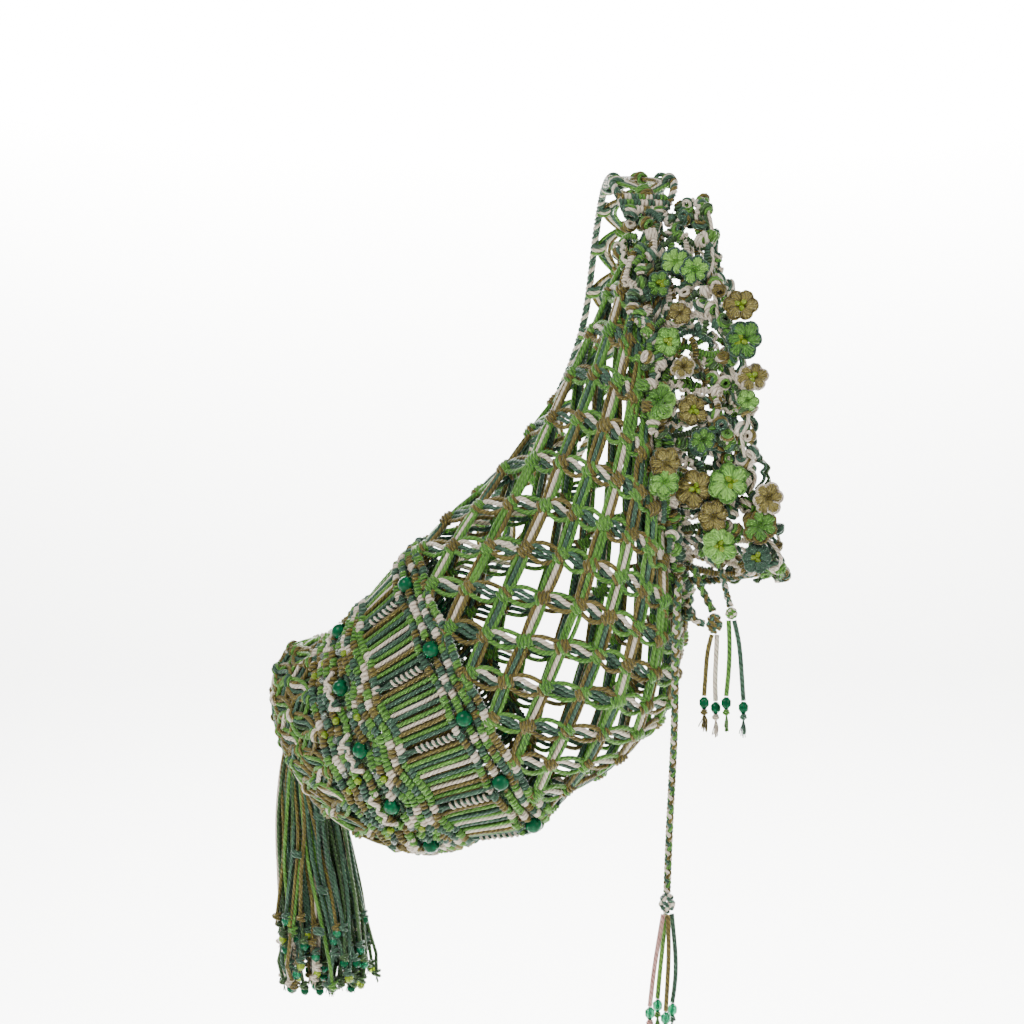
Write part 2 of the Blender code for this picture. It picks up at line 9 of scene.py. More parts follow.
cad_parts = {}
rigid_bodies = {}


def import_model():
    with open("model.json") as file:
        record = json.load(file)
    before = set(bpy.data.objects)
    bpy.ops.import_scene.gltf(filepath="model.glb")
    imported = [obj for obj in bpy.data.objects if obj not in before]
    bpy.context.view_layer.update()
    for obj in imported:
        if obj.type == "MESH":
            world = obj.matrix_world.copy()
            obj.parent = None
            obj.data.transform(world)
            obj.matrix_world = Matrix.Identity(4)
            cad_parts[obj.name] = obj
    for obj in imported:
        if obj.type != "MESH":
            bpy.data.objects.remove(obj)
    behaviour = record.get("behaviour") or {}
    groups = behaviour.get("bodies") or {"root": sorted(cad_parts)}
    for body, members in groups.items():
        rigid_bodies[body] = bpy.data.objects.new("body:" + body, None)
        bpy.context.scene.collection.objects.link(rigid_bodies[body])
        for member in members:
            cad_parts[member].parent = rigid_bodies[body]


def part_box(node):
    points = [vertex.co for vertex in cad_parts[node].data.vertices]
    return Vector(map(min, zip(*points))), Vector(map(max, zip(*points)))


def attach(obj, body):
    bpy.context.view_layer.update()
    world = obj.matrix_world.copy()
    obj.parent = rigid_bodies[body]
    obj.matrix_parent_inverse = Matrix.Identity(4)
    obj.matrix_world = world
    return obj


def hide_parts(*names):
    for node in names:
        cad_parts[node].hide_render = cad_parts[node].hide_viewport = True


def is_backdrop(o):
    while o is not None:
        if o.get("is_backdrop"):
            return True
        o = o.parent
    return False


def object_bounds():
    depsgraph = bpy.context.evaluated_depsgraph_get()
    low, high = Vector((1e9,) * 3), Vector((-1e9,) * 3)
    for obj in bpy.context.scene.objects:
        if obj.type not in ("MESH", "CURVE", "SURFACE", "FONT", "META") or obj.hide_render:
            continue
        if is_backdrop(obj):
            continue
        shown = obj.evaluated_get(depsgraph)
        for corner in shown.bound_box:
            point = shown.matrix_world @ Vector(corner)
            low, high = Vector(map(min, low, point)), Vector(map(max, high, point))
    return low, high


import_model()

# A macrame sling bag hanging from its strap: a knotted net tube with a hitched and beaded
# base low at the left, a lace mouth with crocheted flowers high at the right, a tassel,
# and a drawstring. The camera looks along +Y at the wearer's back.

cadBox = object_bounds()
mm = 0.001
cordRadius = 2.3 * mm     # one macrame cord
chance = np.random.default_rng(7)


def unit(v):
    v = np.asarray(v, dtype=float)
    return v / np.maximum(np.linalg.norm(v, axis=-1, keepdims=True), 1e-12)


def naturalCubic(knots, table):    # a smooth curve through every column of a table
    knots, table = np.array(knots, dtype=float), np.array(table, dtype=float)
    count, step = len(knots), np.diff(knots)
    system, right = np.eye(count), np.zeros_like(table)
    for row in range(1, count - 1):
        system[row, row - 1:row + 2] = (step[row - 1], 2 * (step[row - 1] + step[row]), step[row])
        slopes = np.diff(table[row - 1:row + 2], axis=0) / step[row - 1:row + 1, None]
        right[row] = 6 * (slopes[1] - slopes[0])
    bend = np.linalg.solve(system, right)

    def at(t):
        t = np.atleast_1d(np.asarray(t, dtype=float))
        row = np.clip(np.searchsorted(knots, t) - 1, 0, count - 2)
        span = step[row][:, None]
        before, after = (knots[row + 1] - t)[:, None], (t - knots[row])[:, None]
        return (bend[row] * before ** 3 / (6 * span) + bend[row + 1] * after ** 3 / (6 * span)
                + (table[row] / span - bend[row] * span / 6) * before
                + (table[row + 1] / span - bend[row + 1] * span / 6) * after)
    return at


def lengths(points):
    return np.concatenate([[0.0], np.cumsum(np.linalg.norm(np.diff(points, axis=0), axis=1))])


def columnsAt(wanted, gone, table):    # a table's rows, read off at the wanted distances along it
    return np.stack([np.interp(wanted, gone, table[:, axis]) for axis in range(3)], axis=1)


def smoothRoute(points, spacing):    # points at even steps on a smooth curve through a route
    rows = np.array(points, dtype=float)
    gone = lengths(rows[:, :3])
    count = max(4, int(gone[-1] / spacing) + 1)
    return naturalCubic(gone, rows)(np.linspace(0.0, gone[-1], count))


def pathFrames(points):    # ahead, and two directions square to it that don't spin
    ahead = unit(np.gradient(points, axis=0))
    side = np.zeros_like(points)
    side[0] = unit(np.cross(ahead[0], (0.0, 1.0, 0.0) if abs(ahead[0][1]) < 0.9 else (1.0, 0.0, 0.0)))
    for k in range(1, len(points)):
        side[k] = unit(side[k - 1] - ahead[k] * np.dot(side[k - 1], ahead[k]))
    return ahead, side, np.cross(ahead, side)


def newItem(name, data):    # an object in the scene
    item = bpy.data.objects.new(name, data)
    bpy.context.scene.collection.objects.link(item)
    return item


def hexColour(text):
    parts = [int(text[k:k + 2], 16) / 255 for k in (1, 3, 5)]
    return tuple(c / 12.92 if c <= 0.04045 else ((c + 0.055) / 1.055) ** 2.4 for c in parts) + (1.0,)


def addNode(tree, kind, inputs=None, **settings):
    node = tree.nodes.new(kind)
    for key, value in settings.items():
        setattr(node, key, value)
    for key, value in (inputs or {}).items():
        if isinstance(value, bpy.types.NodeSocket):
            tree.links.new(value, node.inputs[key])
        else:
            node.inputs[key].default_value = value
    return node


def newMaterial(name):
    material = bpy.data.materials.new(name)
    material.use_nodes = True
    tree = material.node_tree
    return material, tree, tree.nodes["Principled BSDF"]


twist = {"strands": 3, "turn": 15.0 * mm, "depth": 0.55 * mm}    # a laid cord's three strands


def laidCord(name, light, paintedGrooveShade, flecks):
    # Mercerised cotton cord, three strands laid together: painted shade darkens the grooves between the
    # strands, and the strand crests keep the cord's own colour.
    material, tree, shader = newMaterial(name)
    place = addNode(tree, "ShaderNodeSeparateXYZ",
                    {"Vector": addNode(tree, "ShaderNodeUVMap", uv_map="UVMap").outputs["UV"]})
    round3 = addNode(tree, "ShaderNodeMath", {0: place.outputs["X"], 1: float(twist["strands"])},
                     operation="MULTIPLY")
    phase = addNode(tree, "ShaderNodeMath", {0: place.outputs["Y"], 1: twist["strands"] / twist["turn"],
                                             2: round3.outputs[0]}, operation="MULTIPLY_ADD")
    wave = addNode(tree, "ShaderNodeMath", {0: addNode(
        tree, "ShaderNodeMath", {0: phase.outputs[0], 1: math.pi}, operation="MULTIPLY").outputs[0]},
        operation="SINE")
    strand = addNode(tree, "ShaderNodeMath", {0: wave.outputs[0]}, operation="ABSOLUTE")
    fibreSpot = addNode(tree, "ShaderNodeCombineXYZ", {"X": phase.outputs[0], "Y": place.outputs["Y"]})
    fibre = addNode(tree, "ShaderNodeTexNoise", {"Vector": addNode(
        tree, "ShaderNodeVectorMath", {0: fibreSpot.outputs[0], 1: (9.0, 240.0, 1.0)},
        operation="MULTIPLY").outputs[0], "Scale": 1.0, "Detail": 2.0})
    spot = addNode(tree, "ShaderNodeTexCoord").outputs["Object"]
    wear = addNode(tree, "ShaderNodeTexNoise", {"Vector": spot, "Scale": 42.0, "Detail": 2.0})
    # painted shade: the colour goes to the darker one where the strands dip into the grooves between them
    shade = addNode(tree, "ShaderNodeMapRange", {"Value": strand.outputs[0], "From Min": 0.05,
                                                 "From Max": 0.75, "To Min": 0.0, "To Max": 1.0})
    body = addNode(tree, "ShaderNodeMix", {"Factor": shade.outputs[0], "A": hexColour(paintedGrooveShade),
                                           "B": hexColour(light)}, data_type="RGBA")
    mottle = addNode(tree, "ShaderNodeMapRange", {"Value": wear.outputs["Fac"], "From Min": 0.35,
                                                  "From Max": 0.7, "To Min": 0.0, "To Max": 0.5})
    worn = addNode(tree, "ShaderNodeMix", {"Factor": mottle.outputs[0], "A": body.outputs["Result"],
                                           "B": hexColour(flecks)}, data_type="RGBA")
    bright = addNode(tree, "ShaderNodeMapRange", {"Value": fibre.outputs["Fac"], "From Min": 0.3,
                                                  "From Max": 0.7, "To Min": 0.82, "To Max": 1.12})
    colour = addNode(tree, "ShaderNodeVectorMath", {0: worn.outputs["Result"], 1: bright.outputs[0]},
                     operation="MULTIPLY")
    tree.links.new(colour.outputs[0], shader.inputs["Base Color"])
    relief = addNode(tree, "ShaderNodeMath", {0: fibre.outputs["Fac"], 1: 0.18, 2: strand.outputs[0]},
                     operation="MULTIPLY_ADD")
    bump = addNode(tree, "ShaderNodeBump", {"Height": relief.outputs[0], "Strength": 1.0,
                                            "Distance": twist["depth"]})
    tree.links.new(bump.outputs[0], shader.inputs["Normal"])
    shader.inputs["Roughness"].default_value = 0.55
    shader.inputs["Sheen Weight"].default_value = 0.25
    shader.inputs["Sheen Roughness"].default_value = 0.4
    shader.inputs["Specular IOR Level"].default_value = 0.35
    return material


# each yarn: the cord's own colour on its strands, the painted shade in its grooves, and its flecks
yarns = {
    "lightGreen": laidCord("CottonCordLeafGreen", "#4f8428", "#1d4011", "#6c9e3c"),
    "olive": laidCord("CottonCordBronzeOlive", "#665a1e", "#2a240a", "#7a6e34"),
    "spruce": laidCord("CottonCordSpruceGreen", "#345640", "#12281b", "#486c55"),
    # a darker green cord, its colour taken from cords lying in shadow: partly the cord's own colour, partly
    # painted shade
    "forest": laidCord("CottonCordForestGreen", "#35522a", "#16260f", "#4c6c38"),
    "cream": laidCord("CottonCordCream", "#e4d6c0", "#8f7d64", "#efe4d2"),
    "blossomGreen": laidCord("CottonYarnBrightGreen", "#7ab848", "#336c1c", "#a2d468"),
    "brown": laidCord("CottonYarnKhaki", "#84783a", "#3a3210", "#9e9350"),
    "rose": laidCord("CottonCordFadedRose", "#c9958a", "#7c544c", "#dcb0a4"),
}


def glass(name, colour, roughness, clear):
    # Pressed glass: a smooth gloss over darker swirls, and clear where it lets light through.
    material, tree, shader = newMaterial(name)
    spot = addNode(tree, "ShaderNodeTexCoord").outputs["Object"]
    swirl = addNode(tree, "ShaderNodeTexNoise", {"Vector": spot, "Scale": 130.0, "Detail": 1.0})
    deep = tuple(c * 0.45 for c in hexColour(colour)[:3]) + (1.0,)
    mixed = addNode(tree, "ShaderNodeMix", {"Factor": swirl.outputs["Fac"], "A": deep,
                                            "B": hexColour(colour)}, data_type="RGBA")
    tree.links.new(mixed.outputs["Result"], shader.inputs["Base Color"])
    shader.inputs["Roughness"].default_value = roughness
    shader.inputs["IOR"].default_value = 1.5
    shader.inputs["Specular IOR Level"].default_value = 0.18
    shader.inputs["Transmission Weight"].default_value = clear
    return material


glasses = {
    "bottle": glass("GlassBottleGreen", "#05603a", 0.08, 0.0),
    "lime": glass("GlassLimeGreen", "#b6d93c", 0.08, 0.5),
    "water": glass("GlassClear", "#dfeee2", 0.05, 0.8),
    "aqua": glass("GlassAquaGreen", "#2fb07a", 0.06, 0.55),
}
stuffOf = {**yarns, **glasses}


def perYarn():
    return {name: [] for name in yarns}


def titled(base, colour):    # a piece's name for one colour, such as NetCordsOlive
    return base + colour[0].upper() + colour[1:]


def newTree(name, inputs):
    tree = bpy.data.node_groups.new(name, "GeometryNodeTree")
    tree.interface.new_socket("Geometry", in_out="INPUT", socket_type="NodeSocketGeometry")
    for title, kind in inputs:
        tree.interface.new_socket(title, in_out="INPUT", socket_type=kind)
    tree.interface.new_socket("Geometry", in_out="OUTPUT", socket_type="NodeSocketGeometry")
    return tree, tree.nodes.new("NodeGroupInput"), tree.nodes.new("NodeGroupOutput")


def finishTree(tree, source, geometry, output):
    shaded = addNode(tree, "GeometryNodeSetShadeSmooth", {"Geometry": geometry, "Shade Smooth": True})
    real = addNode(tree, "GeometryNodeRealizeInstances", {"Geometry": shaded.outputs[0]})
    stuff = addNode(tree, "GeometryNodeSetMaterial",
                    {"Geometry": real.outputs[0], "Material": source.outputs["Stuff"]})
    tree.links.new(stuff.outputs[0], output.inputs[0])


def cordTree():    # lays a round cord along every run of edges
    tree, source, output = newTree("LayCord", (("Radius", "NodeSocketFloat"), ("Sides", "NodeSocketInt"),
                                               ("Stuff", "NodeSocketMaterial")))
    line = addNode(tree, "GeometryNodeMeshToCurve", {"Mesh": source.outputs["Geometry"]})
    along = addNode(tree, "GeometryNodeStoreNamedAttribute", {
        "Geometry": line.outputs[0], "Name": "along",
        "Value": addNode(tree, "GeometryNodeSplineParameter").outputs["Length"]},
        data_type="FLOAT", domain="POINT")
    ring = addNode(tree, "GeometryNodeCurvePrimitiveCircle", {
        "Resolution": source.outputs["Sides"], "Radius": source.outputs["Radius"]})
    around = addNode(tree, "GeometryNodeStoreNamedAttribute", {
        "Geometry": ring.outputs[0], "Name": "around",
        "Value": addNode(tree, "GeometryNodeSplineParameter").outputs["Factor"]},
        data_type="FLOAT", domain="POINT")
    tube = addNode(tree, "GeometryNodeCurveToMesh", {
        "Curve": along.outputs[0], "Profile Curve": around.outputs[0], "Fill Caps": True})
    place = addNode(tree, "ShaderNodeCombineXYZ", {
        "X": addNode(tree, "GeometryNodeInputNamedAttribute", {"Name": "around"}).outputs[0],
        "Y": addNode(tree, "GeometryNodeInputNamedAttribute", {"Name": "along"}).outputs[0]})
    mapped = addNode(tree, "GeometryNodeStoreNamedAttribute", {
        "Geometry": tube.outputs[0], "Name": "UVMap", "Value": place.outputs[0]},
        data_type="FLOAT2", domain="CORNER")
    finishTree(tree, source, mapped.outputs[0], output)
    return tree


def scatterTree():    # puts one unit at every point, turned and sized as the point says
    tree, source, output = newTree("ScatterUnit", (("Unit", "NodeSocketObject"),
                                                   ("Stuff", "NodeSocketMaterial")))
    unitInfo = addNode(tree, "GeometryNodeObjectInfo", {"Object": source.outputs["Unit"]})
    turn = addNode(tree, "GeometryNodeInputNamedAttribute", {"Name": "turn"}, data_type="FLOAT_VECTOR")
    size = addNode(tree, "GeometryNodeInputNamedAttribute", {"Name": "size"}, data_type="FLOAT_VECTOR")
    turned = addNode(tree, "FunctionNodeEulerToRotation", {0: turn.outputs[0]})
    copies = addNode(tree, "GeometryNodeInstanceOnPoints", {
        "Points": source.outputs["Geometry"], "Instance": unitInfo.outputs["Geometry"],
        "Rotation": turned.outputs[0], "Scale": size.outputs[0]})
    finishTree(tree, source, copies.outputs[0], output)
    return tree


trees = {"cord": cordTree(), "scatter": scatterTree()}


def evaluated(item, tree, inputs):    # a tree's result as a plain mesh
    modifier = item.modifiers.new(tree.name, "NODES")
    modifier.node_group = tree
    sockets = {socket.name: socket.identifier for socket in tree.interface.items_tree
               if socket.in_out == "INPUT"}
    for title, value in inputs.items():
        modifier[sockets[title]] = value
    bpy.context.view_layer.update()
    mesh = bpy.data.meshes.new_from_object(item.evaluated_get(bpy.context.evaluated_depsgraph_get()))
    plain = item.data
    item.modifiers.clear()
    item.data = mesh
    bpy.data.meshes.remove(plain)
    mesh.name = item.name
    for name in ("along", "around", "turn", "size"):
        if name in mesh.attributes:
            mesh.attributes.remove(mesh.attributes[name])
    return item


def closeSeam(mesh):    # the last side of a tube runs on past one turn, not back to nought
    layer = mesh.uv_layers.get("UVMap")
    starts = np.zeros(len(mesh.polygons), dtype=np.int32)
    totals = np.zeros(len(mesh.polygons), dtype=np.int32)
    mesh.polygons.foreach_get("loop_start", starts)
    mesh.polygons.foreach_get("loop_total", totals)
    spots = np.zeros(len(mesh.loops) * 2, dtype=np.float32)
    layer.data.foreach_get("uv", spots)
    spots = spots.reshape(-1, 2)
    corners = starts[totals == 4][:, None] + np.arange(4)
    turns = spots[corners, 0]
    wide = turns.max(axis=1) - turns.min(axis=1) > 0.5
    turns[wide] = np.where(turns[wide] < 0.5, turns[wide] + 1.0, turns[wide])
    spots[corners, 0] = turns
    layer.data.foreach_set("uv", spots.ravel())


def cordMesh(name, routes, radius, sides, stuff):
    points, edges = [], []
    for route in routes:
        first = sum(len(p) for p in points)
        points.append(np.asarray(route, dtype=float))
        edges += [(first + k, first + k + 1) for k in range(len(route) - 1)]
    mesh = bpy.data.meshes.new(name)
    mesh.from_pydata(np.vstack(points).tolist(), edges, [])
    item = evaluated(newItem(name, mesh), trees["cord"],
                     {"Radius": radius, "Sides": sides, "Stuff": stuff})
    closeSeam(item.data)
    return item


def settle(item, stuff, *nodes):    # one finished piece on the frame
    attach(item, "root")
    if nodes:
        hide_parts(*nodes)
    return item


def layCords(name, routes, stuff, *nodes, radius=cordRadius, sides=5):
    if not routes:
        return None
    return settle(cordMesh(name, routes, radius, sides, stuffOf[stuff]), stuff, *nodes)


def scatter(name, spots, unitItem, stuff, *nodes):
    # spots: (place, outwards, up, size) for each copy; the unit's Y faces out and its Z up
    if not spots:
        return None
    mesh = bpy.data.meshes.new(name)
    mesh.from_pydata([tuple(map(float, spot[0])) for spot in spots], [], [])
    turns, sizes = [], []
    for _, out, up, size in spots:
        up = unit(up)
        across = unit(np.cross(out, up))
        basis = Matrix((across, np.cross(up, across), up)).transposed()
        turns += list(basis.to_euler())
        sizes += list(size) if np.ndim(size) else [size] * 3
    for title, values in (("turn", turns), ("size", sizes)):
        mesh.attributes.new(title, "FLOAT_VECTOR", "POINT").data.foreach_set("vector", values)
    item = evaluated(newItem(name, mesh), trees["scatter"],
                     {"Unit": unitItem, "Stuff": stuffOf[stuff]})
    return settle(item, stuff, *nodes)


def layEach(title, routes, *nodes, **how):    # one piece for each colour of cord
    for colour, runs in routes.items():
        layCords(titled(title, colour), runs, colour, *nodes, **how)


def scatterEach(title, spots, unitItem, *nodes):    # one piece for each colour or kind of glass
    for stuff, places in spots.items():
        scatter(titled(title, stuff), places, unitItem, stuff, *nodes)


def asUnit(item):    # kept only to be copied
    item.hide_render = item.hide_viewport = True
    return item


room = {
    "camera": (-0.120, -2.155, -0.316), "lens": 77.7, "sensor": 36.0, "glow": 0.4,
    # each light's place, watts, width and height, and what it is aimed at
    "lights": {"KeyLight": ((-2.0, -2.1, 2.1), 110.0, (1.5, 1.5), (-0.1, 0.0, -0.4)),
               "FillLight": ((2.4, -1.8, 0.7), 42.0, (1.8, 1.8), (-0.1, 0.0, -0.4)),
               "BackdropLight": ((0.0, 2.5, 1.7), 1250.0, (4.4, 1.0), (0.0, 3.5, 0.3))},
    # the paper: its floor's height and front edge, where it bends up, and the wall's top
    "floor": -1.5, "front": -4.0, "bendAt": 2.4, "bend": 0.8, "top": 2.6, "halfWidth": 4.0,
}


def studio():
    camera = newItem("Camera", bpy.data.cameras.new("Camera"))
    camera.location = room["camera"]
    camera.rotation_euler = (math.pi / 2, 0.0, 0.0)
    camera.data.lens = room["lens"]
    camera.data.sensor_width = room["sensor"]
    bpy.context.scene.camera = camera
    for title, (place, power, size, aim) in room["lights"].items():
        lamp = bpy.data.lights.new(title, "AREA")
        lamp.shape = "RECTANGLE"
        lamp.energy, lamp.size, lamp.size_y = power, *size
        item = newItem(title, lamp)
        item.location = place
        item.rotation_euler = (Vector(aim) - Vector(place)).to_track_quat("-Z", "Y").to_euler()
    world = bpy.data.worlds.new("SoftRoom")
    world.use_nodes = True
    world.node_tree.nodes["Background"].inputs["Color"].default_value = (1.0, 1.0, 1.0, 1.0)
    world.node_tree.nodes["Background"].inputs["Strength"].default_value = room["glow"]
    bpy.context.scene.world = world
    start, bend = room["bendAt"], room["bend"]
    profile = [(room["front"], room["floor"]), (start, room["floor"])]
    profile += [(start + bend * math.sin(a), room["floor"] + bend * (1 - math.cos(a)))
                for a in np.linspace(0.2, math.pi / 2, 9)]
    profile += [(start + bend, room["top"])]
    points = [(x, y, z) for x in (-room["halfWidth"], room["halfWidth"]) for y, z in profile]
    count = len(profile)
    mesh = bpy.data.meshes.new("Backdrop")
    mesh.from_pydata(points, [], [(k, k + 1, count + k + 1, count + k) for k in range(count - 1)])
    mesh.shade_smooth()
    paper, _, shader = newMaterial("PaperPaleSeamless")    # matt seamless paper
    shader.inputs["Base Color"].default_value = hexColour("#f7f7f5")
    shader.inputs["Roughness"].default_value = 0.9
    mesh.materials.append(paper)
    newItem("Backdrop", mesh)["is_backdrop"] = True
    print("studio ready")


studio()


# Rings from the mouth to the base: t, x, y, z, half chord, lean, near, far, tilt.
stations = (
    (-0.8, 28.0, -109.0, -211.0, 169.0, 2.0, 36.0, 32.0, 12.0),
    (0.0, 21.0, -107.0, -216.0, 171.0, 3.7, 42.0, 36.0, 12.0),
    (3.0, 8.5, -97.0, -265.0, 173.0, 9.9, 68.0, 50.0, 12.0),
    (6.0, -17.0, -83.0, -335.0, 164.0, 15.9, 78.0, 56.0, 12.0),
    (9.0, -73.0, -68.0, -411.0, 149.0, 21.7, 84.0, 60.0, 10.0),
    (12.0, -149.0, -55.0, -475.0, 141.0, 26.0, 86.0, 64.0, 8.0),
    (13.0, -162.0, -51.0, -490.0, 141.0, 26.6, 86.0, 64.0, 9.0),
    (14.6, -202.0, -42.0, -511.0, 125.0, 24.5, 82.0, 64.0, 15.0),
    (15.4, -218.0, -36.0, -522.0, 121.0, 24.3, 80.0, 62.0, 26.0),
    (16.4, -253.0, -19.0, -537.0, 109.0, 23.2, 72.0, 56.0, 34.0),
    (17.2, -290.0, -1.0, -534.0, 97.0, 22.5, 60.0, 46.0, 42.0),
    (17.8, -309.0, 11.0, -532.0, 72.0, 23.0, 42.0, 32.0, 50.0),
    (18.2, -313.0, 18.0, -532.0, 38.0, 23.0, 23.0, 18.0, 54.0),
    (18.4, -314.0, 21.0, -532.0, 22.0, 23.0, 16.0, 14.0, 55.0),
)
stationAt = naturalCubic([row[0] for row in stations], [row[1:] for row in stations])


def ringOutline(row, samples=360):    # from the middle of the near side, going down
    x, y, z, half, lean, near, far, tilt = row
    lean, tilt = math.radians(lean), math.radians(tilt)
    down = np.array([math.sin(lean), 0.0, -math.cos(lean)])
    toBase = np.array([-math.cos(lean), 0.0, -math.sin(lean)])
    toViewer = np.array([0.0, -math.cos(tilt), 0.0]) + toBase * math.sin(tilt)
    turn = np.linspace(0.0, 2 * math.pi, samples, endpoint=False)
    depth = np.where(np.cos(turn) > 0, near, far) * np.cos(turn)
    return (np.array([x, y, z]) + np.outer(half * np.sin(turn), down) + np.outer(depth, toViewer)) * mm


def evenPoints(row, count, phase=0.0):    # even steps round one ring
    loop = ringOutline(row)
    loop = np.vstack([loop, loop[:1]])
    gone = lengths(loop)
    wanted = ((np.arange(count) + phase) % count) / count * gone[-1]
    return columnsAt(wanted, gone, loop)


surfaceStep, surfaceAround = 0.05, 360
surfaceT = np.arange(stations[0][0], stations[-1][0] + 0.001, surfaceStep)
surface = np.stack([evenPoints(row, surfaceAround) for row in stationAt(surfaceT)])
toMouth = unit(-np.gradient(surface, axis=0))
roundAbout = unit(np.roll(surface, -1, axis=1) - np.roll(surface, 1, axis=1))
outwards = unit(np.cross(toMouth, roundAbout))
if np.sum(outwards * (surface - surface.mean(axis=1, keepdims=True))) < 0:
    outwards = -outwards


def sample(table, t, s):
    t, s = np.broadcast_arrays(np.asarray(t, dtype=float), np.asarray(s, dtype=float))
    row = np.clip((t - surfaceT[0]) / surfaceStep, 0, len(surfaceT) - 1.001)
    col = (s % 1.0) * surfaceAround
    r, c = row.astype(int), col.astype(int) % surfaceAround
    nextCol = (c + 1) % surfaceAround
    fr, fc = (row - r)[..., None], (col - np.floor(col))[..., None]
    return ((table[r, c] * (1 - fc) + table[r, nextCol] * fc) * (1 - fr)
            + (table[r + 1, c] * (1 - fc) + table[r + 1, nextCol] * fc) * fr)


def onBag(t, s, lift=0.0):    # a place on the bag: t along it, s turns round it, lift off it
    return sample(surface, t, s) + unit(sample(outwards, t, s)) * np.asarray(lift)[..., None]


def bagFrame(t, s):    # outwards and towards the mouth
    return unit(sample(outwards, t, s)), unit(sample(toMouth, t, s))


def turned(v, axis, angle):
    v, axis = np.asarray(v, dtype=float), unit(axis)
    return (v * math.cos(angle) + np.cross(axis, v) * math.sin(angle)
            + axis * np.dot(axis, v) * (1 - math.cos(angle)))


def tubeRing(centre, out, aside, radius, sides):    # the points round a tube at one place
    angles = [2 * math.pi * j / sides for j in range(sides)]
    return [centre + (out * math.cos(b) + aside * math.sin(b)) * radius for b in angles]


def tubeFaces(first, steps, sides, length, closed):    # a tube's quads, and their corners' UV
    faces, places = [], []
    for k in range(steps):
        for j in range(sides):
            m, n = (k + 1) % steps if closed else k + 1, (j + 1) % sides
            faces.append(tuple(first + a * sides + b for a, b in ((k, j), (m, j), (m, n), (k, n))))
            places += [((j + right) / sides, (k + up) / steps * length)
                       for right, up in ((0, 0), (0, 1), (1, 1), (1, 0))]
    return faces, places


def ringUnit(name, halfWidth, halfDepth, radius, around=12, sides=5):
    # one wrap of cord round a bundle: it lies round the unit's Z
    points = []
    for k in range(around):
        a = 2 * math.pi * k / around
        centre = np.array([halfWidth * math.cos(a), halfDepth * math.sin(a), 0.0])
        out = unit([math.cos(a) * halfDepth, math.sin(a) * halfWidth, 0.0])
        points += tubeRing(centre, out, np.array([0.0, 0.0, 1.0]), radius, sides)
    return unitFrom(name, points, *tubeFaces(0, around, sides, math.pi * (halfWidth + halfDepth), True))


def unitFrom(name, points, faces, places):
    mesh = bpy.data.meshes.new(name)
    mesh.from_pydata([tuple(map(float, p)) for p in points], [], faces)
    mesh.uv_layers.new(name="UVMap").data.foreach_set("uv", np.array(places, dtype=float).ravel())
    shape = bmesh.new()
    shape.from_mesh(mesh)
    bmesh.ops.recalc_face_normals(shape, faces=shape.faces)
    shape.to_mesh(mesh)
    shape.free()
    mesh.shade_smooth()
    return asUnit(newItem(name, mesh))


def hitchUnit(name, wraps, spread, reach, radius, steps=4, sides=5):
    # a double half hitch: turns of cord over a holding cord that runs along the unit's X,
    # standing out along Y
    points, faces, places = [], [], []
    for w in range(wraps):
        first = len(points)
        for k in range(steps + 1):
            a = math.radians(-112 + 224 * k / steps)
            centre = np.array([(w - (wraps - 1) / 2) * spread + 0.22 * spread * math.sin(a),
                               reach * math.cos(a), reach * math.sin(a)])
            points += tubeRing(centre, np.array([0.0, math.cos(a), math.sin(a)]), np.array([1.0, 0.0, 0.0]),
                               radius, sides)
        quads, spots = tubeFaces(first, steps, sides, 2.4 * reach, False)
        faces += quads
        places += spots
        for ring in (0, steps):
            faces.append(tuple(first + ring * sides + j for j in range(sides)))
            places += [(0.0, 0.0)] * sides
    return unitFrom(name, points, faces, places)


def beadUnit(name, hole=0.22, around=16, facets=False):
    # a round bead of radius 1 with its thread hole along Z, or a faceted one
    angles = np.radians((-74, -50, -25, 0, 25, 50, 74)) if not facets else np.radians((-66, -22, 22, 66))
    profile = [(math.cos(a), math.sin(a)) for a in angles] + [(hole, 0.8), (hole, -0.8)]
    rows = len(profile)
    points = []
    for row, (r, z) in enumerate(profile):
        for k in range(around):
            a = 2 * math.pi * (k + 0.5 * facets * (row % 2)) / around
            points.append((r * math.cos(a), r * math.sin(a), z))
    faces, places = [], []
    for row in range(rows):
        for k in range(around):
            m, n = (row + 1) % rows, (k + 1) % around
            faces.append((row * around + k, row * around + n, m * around + n, m * around + k))
            places += [(k / around, row / rows), ((k + 1) / around, row / rows),
                       ((k + 1) / around, (row + 1) / rows), (k / around, (row + 1) / rows)]
    item = unitFrom(name, points, faces, places)
    if facets:
        item.data.shade_flat()
    return item


units = {
    "netWrap": ringUnit("NetWrapUnit", 5.3 * mm, 4.4 * mm, 2.1 * mm),
    "smallWrap": ringUnit("SmallWrapUnit", 4.4 * mm, 4.0 * mm, 2.0 * mm, around=10),
    "hitch": hitchUnit("HitchUnit", 2, 3.9 * mm, 2.6 * mm, 2.3 * mm),
    "bead": beadUnit("BeadUnit"),
    "facetBead": beadUnit("FacetBeadUnit", around=8, facets=True),
}
print("units ready")


